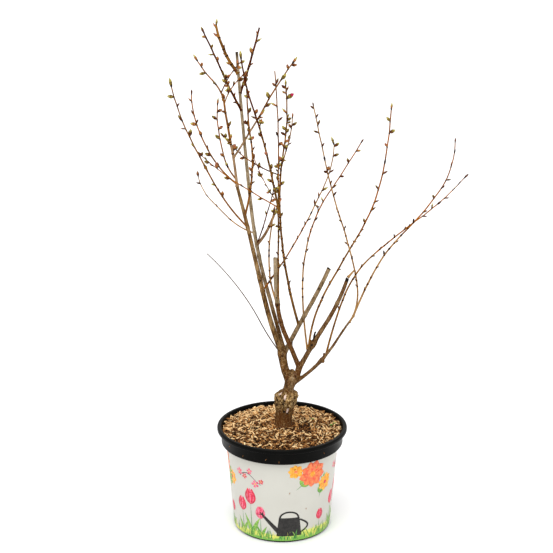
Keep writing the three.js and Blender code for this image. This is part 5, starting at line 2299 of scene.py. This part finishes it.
@dataclass
class Crown:
    """The shoots and their buds: young bark with swollen nodes, spurs, and buds of several kinds.

    Two streams of numbers grow each mass: "draw" places the source's nodes and "fine" gives the rest.
    """

    paths: dict[str, Path]
    lowest: Array
    highest: Array
    seed: int = 100
    fine_seed: int = 5000
    seed_step: int = 17
    fullness: float = 1.16
    spacing: float = 30.0
    first_bud: float = 0.5
    spacing_spread: float = 0.35
    bud_turn: float = 137.5
    bud_lean: float = 34.0
    bud_lengths: Pair = (8.6, 14.6)
    bud_sunk: float = 0.15
    scale_wave: float = 0.07
    bud_seat: float = 0.75
    seen_clear: float = 15.0
    seen_seat: float = 0.9
    seen_upright: float = 20.0
    tip_length: float = 0.92
    tip_shortest: float = 4.0
    tip_clear: float = 6.0
    tip_node_clear: float = 8.0
    tip_side_lean: float = 48.0
    sleepy_below: float = 0.6
    spur_length: float = 6.75
    spur_thickness: float = 2.2
    spur_spread: float = 40.0
    fine_share: float = 0.55
    fine_gap: float = 19.0
    fine_size: float = 0.72
    waking: Pair = (520.0, 860.0)
    twig_sides: int = 9
    stalk_sides: int = 7
    bud_sides: int = 8
    ring_spacing: float = 4.0
    collars: tuple[float, ...] = (-2.6, -1.0, 0.0, 1.4, 3.2)
    collar_clear: float = 4.2
    twigs: Stock = field(default_factory=Stock)
    buds: Stock = field(default_factory=Stock)
    fine: Draw = field(init=False)
    choices: ClassVar[dict[BudKind, tuple[BudDress, ...]]] = {
        DORMANT: (BROWN, BLACK, BLACK, OLIVE),
        SLIM: (OLIVE, GREEN, AMBER, BROWN, BLACK, OLIVE),
        PLUMP: (GREEN, MIXED, OLIVE, AMBER, MIXED, PINK, GREEN, OLIVE),
    }

    def build(self) -> None:
        """Builds and dresses twigs and buds."""
        masses = list(dict.fromkeys(shoot.mass for shoot in SHOOTS.values()))
        for i, mass in enumerate(masses):
            draw, self.fine = Draw(self.seed + self.seed_step * i), Draw(self.fine_seed + self.seed_step * i)
            for name, shoot in SHOOTS.items():
                if shoot.mass == mass:
                    self.grow_shoot(name, shoot, draw)
        dress(self.twigs.piece("twigs", [YoungBark(rind).material() for rind in Rind]), "twigs", masses)
        dress(self.buds.piece("buds", [BudSkin(tint).material() for tint in BudTint]), "twigs")

    def nodes_of(self, shoot: Shoot, draw: Draw) -> list[Node]:
        """Places the nodes of a shoot by the source's rule.

        Args:
            shoot: The shoot.
            draw: The mass's stream of numbers.

        Returns:
            The nodes from root to tip.
        """
        nodes = []
        turn = 360.0 * draw.next()
        distance = shoot.length - self.spacing * (self.first_bud + draw.next())
        while distance > shoot.bare:
            nodes.append(Node(distance, turn, draw.next(), draw.next() < shoot.spurs))
            turn += self.bud_turn
            distance -= self.spacing * (1.0 + self.spacing_spread * (2.0 * draw.next() - 1.0))
        return nodes[::-1]

    def with_fine_nodes(self, path: Path, shoot: Shoot, nodes: list[Node]) -> list[Node]:
        """Adds the smaller nodes that stand between the source's.

        Args:
            path: The shoot's path.
            shoot: The shoot.
            nodes: The source's nodes.

        Returns:
            All nodes from root to tip.
        """
        stops = [node.distance for node in nodes] + [shoot.length]
        added = []
        for low, high in zip(stops, stops[1:]):
            share = self.fine_share * (0.3 + 0.7 * self.vigour(path, low))
            if high - low > self.fine_gap and self.fine.next() < share:
                distance = low + (high - low) * self.fine.between(0.4, 0.6)
                added.append(Node(distance, 360.0 * self.fine.next(), self.fine.next(), False, True))
        return sorted([*nodes, *added], key=lambda node: node.distance)

    def grow_shoot(self, name: str, shoot: Shoot, draw: Draw) -> None:
        """Grows one shoot with its buds, spurs and tip.

        Args:
            name: The shoot's name.
            shoot: The shoot.
            draw: The mass's stream of numbers.
        """
        path = self.paths[name]
        nodes = self.with_fine_nodes(path, shoot, self.nodes_of(shoot, draw))
        seen = [SeenBud(*row) for row in SEEN_BUDS.get(name, ())]
        nodes = [node for node in nodes if all(abs(node.distance - bud.at) > self.seen_clear for bud in seen)]
        last = shoot.length - self.tip_node_clear
        stops = nodes + [Node(bud.at, bud.turn, 0.5, False) for bud in seen if bud.at < last]
        self.shoot_tube(path, shoot, sorted(stops, key=lambda node: node.distance))
        for bud in seen:
            heading = path.heading(bud.at)
            out = min(bud.lean / self.seen_upright, 1.0) * self.seen_seat
            root = path.at(bud.at) + leaning(heading, bud.turn, 90.0) * out
            self.bud(root, leaning(heading, bud.turn, bud.lean), bud.length, bud.kind, bud.dress)
        for node in nodes:
            heading = path.heading(node.distance)
            out = leaning(heading, node.turn, self.bud_lean + self.fine.between(-8.0, 12.0))
            side = leaning(heading, node.turn, 90.0)
            root = path.at(node.distance) + side * self.radius_at(shoot, node.distance) * self.bud_seat
            vigour = self.vigour(path, node.distance)
            length = self.bud_length(shoot, node, vigour)
            if node.spur:
                self.spur(root, out, length, vigour)
            else:
                self.single_bud(root, out, length, vigour, node.fine, PLUMP_SHARES.get(shoot.mass, 1.0))
        tipped = any(bud.at > shoot.length - self.tip_clear for bud in seen) or name in BARE_TIPS
        if shoot.bare < shoot.length and not tipped:
            self.tip(path, shoot)

    def radius_at(self, shoot: Shoot, distance: float) -> float:
        """Gives a shoot's radius at a distance along."""
        share = min(max(distance / shoot.length, 0.0), 1.0)
        return 0.5 * self.fullness * shoot.fullness * stationed(shoot.thick, share)

    def vigour(self, path: Path, distance: float) -> float:
        """Gives how far buds have swollen at a place: low ones still sleep, those in the crown open."""
        return float(smooth_step(path.at(distance)[2], *self.waking))

    def bud_length(self, shoot: Shoot, node: Node, vigour: float) -> float:
        """Works out the length of a node's buds, longer towards the tip and higher in the crown.

        Args:
            shoot: The shoot.
            node: The node.
            vigour: How far its buds have swollen.

        Returns:
            The length.
        """
        low, high = self.bud_lengths
        share = (node.distance / shoot.length + node.size) / 2.0
        length = (low + (high - low) * share) * (0.6 + 0.5 * vigour)
        return length * (self.fine_size if node.fine else 1.0)

    def shoot_tube(self, path: Path, shoot: Shoot, nodes: list[Node]) -> None:
        """Builds a shoot's stem: tapering, with a kink, a swelling and a dark collar at each node.

        Args:
            path: The shoot's path.
            shoot: The shoot.
            nodes: Its nodes from root to tip.
        """
        stops = set(np.linspace(0.0, shoot.length, max(int(shoot.length / self.ring_spacing), 4)))
        for node in nodes:
            collar = {node.distance + shift for shift in self.collars}
            stops = {d for d in stops if abs(d - node.distance) > self.collar_clear}
            stops |= {d for d in collar if 0.0 < d < shoot.length}
        stops = sorted(stops)
        distances = np.array([d for i, d in enumerate(stops) if i == 0 or d - stops[i - 1] > 0.5])
        centres, headings = path.frames(distances)
        radii = np.array([self.radius_at(shoot, d) for d in distances])
        radii *= 1.0 + 0.55 * np.exp(-distances / 3.0)
        for node in nodes:
            gap = distances - node.distance
            radii *= 1.0 + np.where(gap > 0.0, 0.16 * bell(gap, 1.6), 0.3 * bell(gap, 2.4))
            kink = 0.5 * np.exp(-np.abs(gap) / 9.0)
            centres = centres + np.outer(kink, leaning(path.heading(node.distance), node.turn, 90.0))
        points, faces = tube(centres, headings, radii, self.twig_sides)
        finishes = []
        for middle in 0.5 * (distances[1:] + distances[:-1]):
            rind = shoot.rinds[int(middle >= 0.5 * shoot.length)]
            gaps = [middle - node.distance for node in nodes]
            if any(-2.2 < gap < 0.1 for gap in gaps):
                rind = Rind.DARK_NODE
            elif any(0.1 < gap < 1.5 for gap in gaps):
                rind = Rind.NODE
            finishes += [rind.slot] * self.twig_sides
        self.twigs.add(points, faces, finishes + [rind.slot for rind in shoot.rinds])

    def colours_for(self, kind: BudKind, sleepy: bool = False) -> BudDress:
        """Chooses the colours of a bud of a kind.

        Args:
            kind: The kind.
            sleepy: Whether its shoot is sleepy, and its slim buds are darker.

        Returns:
            The colours.
        """
        if kind is SLIM and sleepy:
            choices = (BLACK, BROWN, OLIVE, BROWN, BLACK, OLIVE)
        else:
            choices = self.choices[kind]
        return choices[int(self.fine.next() * len(choices))]

    def bud(self, root: Array, heading: Array, length: float, kind: BudKind, colours: BudDress,) -> None:
        """Builds one bud of overlapping scales.

        Args:
            root: Where it stands.
            heading: The way it points.
            length: Its length.
            kind: Its kind.
            colours: The colours of its tiers.
        """
        form, tints = kind.value, colours.value
        heading = unit(heading)
        first, second = across(heading)
        spin, swell = self.fine.turn(), self.fine.between(0.9, 1.12)
        angles = round_angles(self.bud_sides)
        ring = first * np.cos(angles)[:, None] + second * np.sin(angles)[:, None]
        tiers = [tier for _, _, tier in form.stations]
        points = []
        for i, (height, girth, tier) in enumerate(form.stations):
            edge = len(set(tiers[max(i - 1, 0):i + 2])) > 1
            wave = edge * self.scale_wave * np.cos(form.points * angles + spin + 1.9 * tier)
            reach = (height - self.bud_sunk * (1.0 - height) + wave) * length
            points.append(root + heading * reach[:, None] + 0.5 * form.width * length * girth * swell * ring)
        finishes = [tints[tier].slot for tier in tiers[1:] for _ in range(self.bud_sides)]
        finishes += [tints[0].slot, tints[-1].slot]
        self.buds.add(np.concatenate(points), ring_faces(len(tiers), self.bud_sides), finishes)

    def inside(self, point: Array) -> bool:
        """Tells whether a point lies in the space that the part's solids reach."""
        return bool(np.all(point > self.lowest + 0.5) and np.all(point < self.highest - 0.5))

    def single_bud(self, root: Array, out: Array, length: float, vigour: float, small: bool,
                   plump: float) -> None:
        """Builds a node's own bud.

        Args:
            root: Where it stands.
            out: The way it points.
            length: Its length.
            vigour: How far buds have swollen there.
            small: Whether its node is one of the smaller ones.
            plump: The mass's share of plump buds.
        """
        asleep = self.fine.next() < 0.75 - 0.9 * vigour
        if small or asleep:
            kind = DORMANT if self.fine.next() < 0.8 - 0.6 * vigour else SLIM
        else:
            kind = PLUMP if self.fine.next() < 0.7 * vigour * plump else SLIM
        if self.inside(root + out * length):
            colours = self.colours_for(kind, plump < self.sleepy_below)
            self.bud(root, out, length, kind, colours)

    def spur(self, root: Array, out: Array, length: float, vigour: float) -> None:
        """Builds a spur: a knobbly stalk that ends in a cluster of buds.

        Args:
            root: Where it stands.
            out: The way it points.
            length: The length of its buds.
            vigour: How far buds have swollen there.
        """
        end = root + out * self.spur_length
        if not self.inside(end + out * length):
            return
        shares = np.array([0.0, 0.3, 0.5, 0.62, 0.85, 1.0])
        swell = np.array([1.3, 0.9, 1.15, 0.9, 1.1, 1.25])
        centres = root + np.outer(shares, end - root)
        stalk = tube(centres, unit(end - root), 0.5 * self.spur_thickness * swell, self.stalk_sides)
        self.twigs.add(*stalk, Rind.DARK_NODE.slot)
        count = 3 + int(self.fine.next() * 2.0)
        for i in range(count):
            lean = 0.0 if i == 0 else self.spur_spread + self.fine.between(-10.0, 16.0)
            heading = leaning(out, 360.0 * i / (count - 1) + self.fine.between(-25.0, 25.0), lean)
            kind = PLUMP if self.fine.next() < 0.25 + 0.5 * vigour else SLIM
            size = length * self.fine.between(0.72, 0.98)
            if self.inside(end + heading * size):
                self.bud(end, heading, size, kind, self.colours_for(kind))

    def tip(self, path: Path, shoot: Shoot) -> None:
        """Builds the buds at a shoot's tip: one straight on, and often one or two beside it.

        Args:
            path: The shoot's path.
            shoot: The shoot.
        """
        end, heading = path.at(shoot.length), path.heading(shoot.length)
        vigour = self.vigour(path, shoot.length)
        length = self.bud_lengths[1] * self.tip_length
        while length > self.tip_shortest and not self.inside(end + heading * length):
            length -= 1.0
        kind = PLUMP if self.fine.next() < 0.3 * vigour else SLIM
        self.bud(end, heading, length, kind, self.colours_for(kind))
        for _ in range(int(self.fine.next() * 2.6)):
            side = leaning(heading, 360.0 * self.fine.next(), self.tip_side_lean)
            root = path.at(shoot.length - self.fine.between(1.0, 6.0))
            kind = PLUMP if self.fine.next() < 0.6 * vigour else SLIM
            size = length * self.fine.between(0.6, 0.85)
            if self.inside(root + side * size * 1.2):
                self.bud(root + side * 0.8, side, size, kind, self.colours_for(kind))


# Studio


@dataclass
class Studio:
    """A pale floor, soft lights and the camera, in metres.

    A light has its name, its place, its strength and its spread in degrees.
    """

    floor_size: float = 44.0
    floor_tone: Colour = tone(246, 246, 246)
    camera_place: Place = (-0.012, -2.9, 1.455)
    camera_pitch: float = 17.1
    focal_length: float = 94.5
    sensor: float = 36.0
    sight: Pair = (0.05, 50.0)
    world_strength: float = 0.8
    lights: tuple[tuple[str, Place, float, float], ...] = (
        ("key_light", (-0.6, -1.6, 3.2), 1.95, 60.0),
        ("fill_light", (2.0, -1.6, 1.8), 0.25, 50.0),
        ("back_light", (0.8, 2.2, 2.2), 0.35, 40.0),
    )

    def build(self) -> None:
        """Builds the studio."""
        bpy.context.scene.view_settings.view_transform = "Standard"
        self.build_floor()
        for name, place, strength, spread in self.lights:
            light = bpy.data.lights.new(name, "SUN")
            light.energy, light.angle = strength, math.radians(spread)
            self.hang(name, light, place, (-Vector(place)).to_track_quat("-Z", "Y").to_euler())
        self.build_surroundings()
        self.build_camera()

    def build_floor(self) -> None:
        """Builds the pale floor."""
        deselect()
        bpy.ops.mesh.primitive_plane_add(size=self.floor_size, location=(0.0, 0.0, 0.0))
        floor = bpy.context.object
        floor.name = "studio_floor"
        pale = Nodes("pale_floor").finish({"Base Color": self.floor_tone, "Roughness": 0.7})
        floor.data.materials.append(pale)
        floor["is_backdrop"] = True

    def hang(self, name: str, data: bpy.types.ID, place: Place, turned_to: Sequence[float]) -> Object:
        """Hangs a light or the camera in the scene.

        Args:
            name: Its name.
            data: The light or camera.
            place: Where it hangs.
            turned_to: How it is turned, in radians.

        Returns:
            The object.
        """
        hung = bpy.data.objects.new(name, data)
        hung.location, hung.rotation_euler = place, turned_to
        bpy.context.scene.collection.objects.link(hung)
        return hung

    def build_surroundings(self) -> None:
        """Adds the pale surroundings."""
        world = bpy.data.worlds.new("pale_surroundings")
        world.use_nodes = True
        background = world.node_tree.nodes["Background"]
        background.inputs["Color"].default_value = (1.0, 1.0, 1.0, 1.0)
        background.inputs["Strength"].default_value = self.world_strength
        bpy.context.scene.world = world

    def build_camera(self) -> None:
        """Adds the camera at the photograph's viewing angle."""
        camera = bpy.data.cameras.new("camera")
        camera.sensor_width, camera.lens = self.sensor, self.focal_length
        camera.clip_start, camera.clip_end = self.sight
        pitch = math.radians(90.0 - self.camera_pitch)
        bpy.context.scene.camera = self.hang("camera", camera, self.camera_place, (pitch, 0.0, 0.0))


def main() -> None:
    """Builds everything in order."""
    logging.basicConfig(level=logging.INFO, format="%(message)s")
    cad_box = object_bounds()
    paths = grow()
    lowest, highest = (np.array(corner) / MM for corner in cad_box)
    Crown(paths, lowest, highest).build()
    Bole(paths).build()
    Pot().build()
    Sleeve().build()
    MulchBed().build()
    Studio().build()


if __name__ == "__main__":
    main()
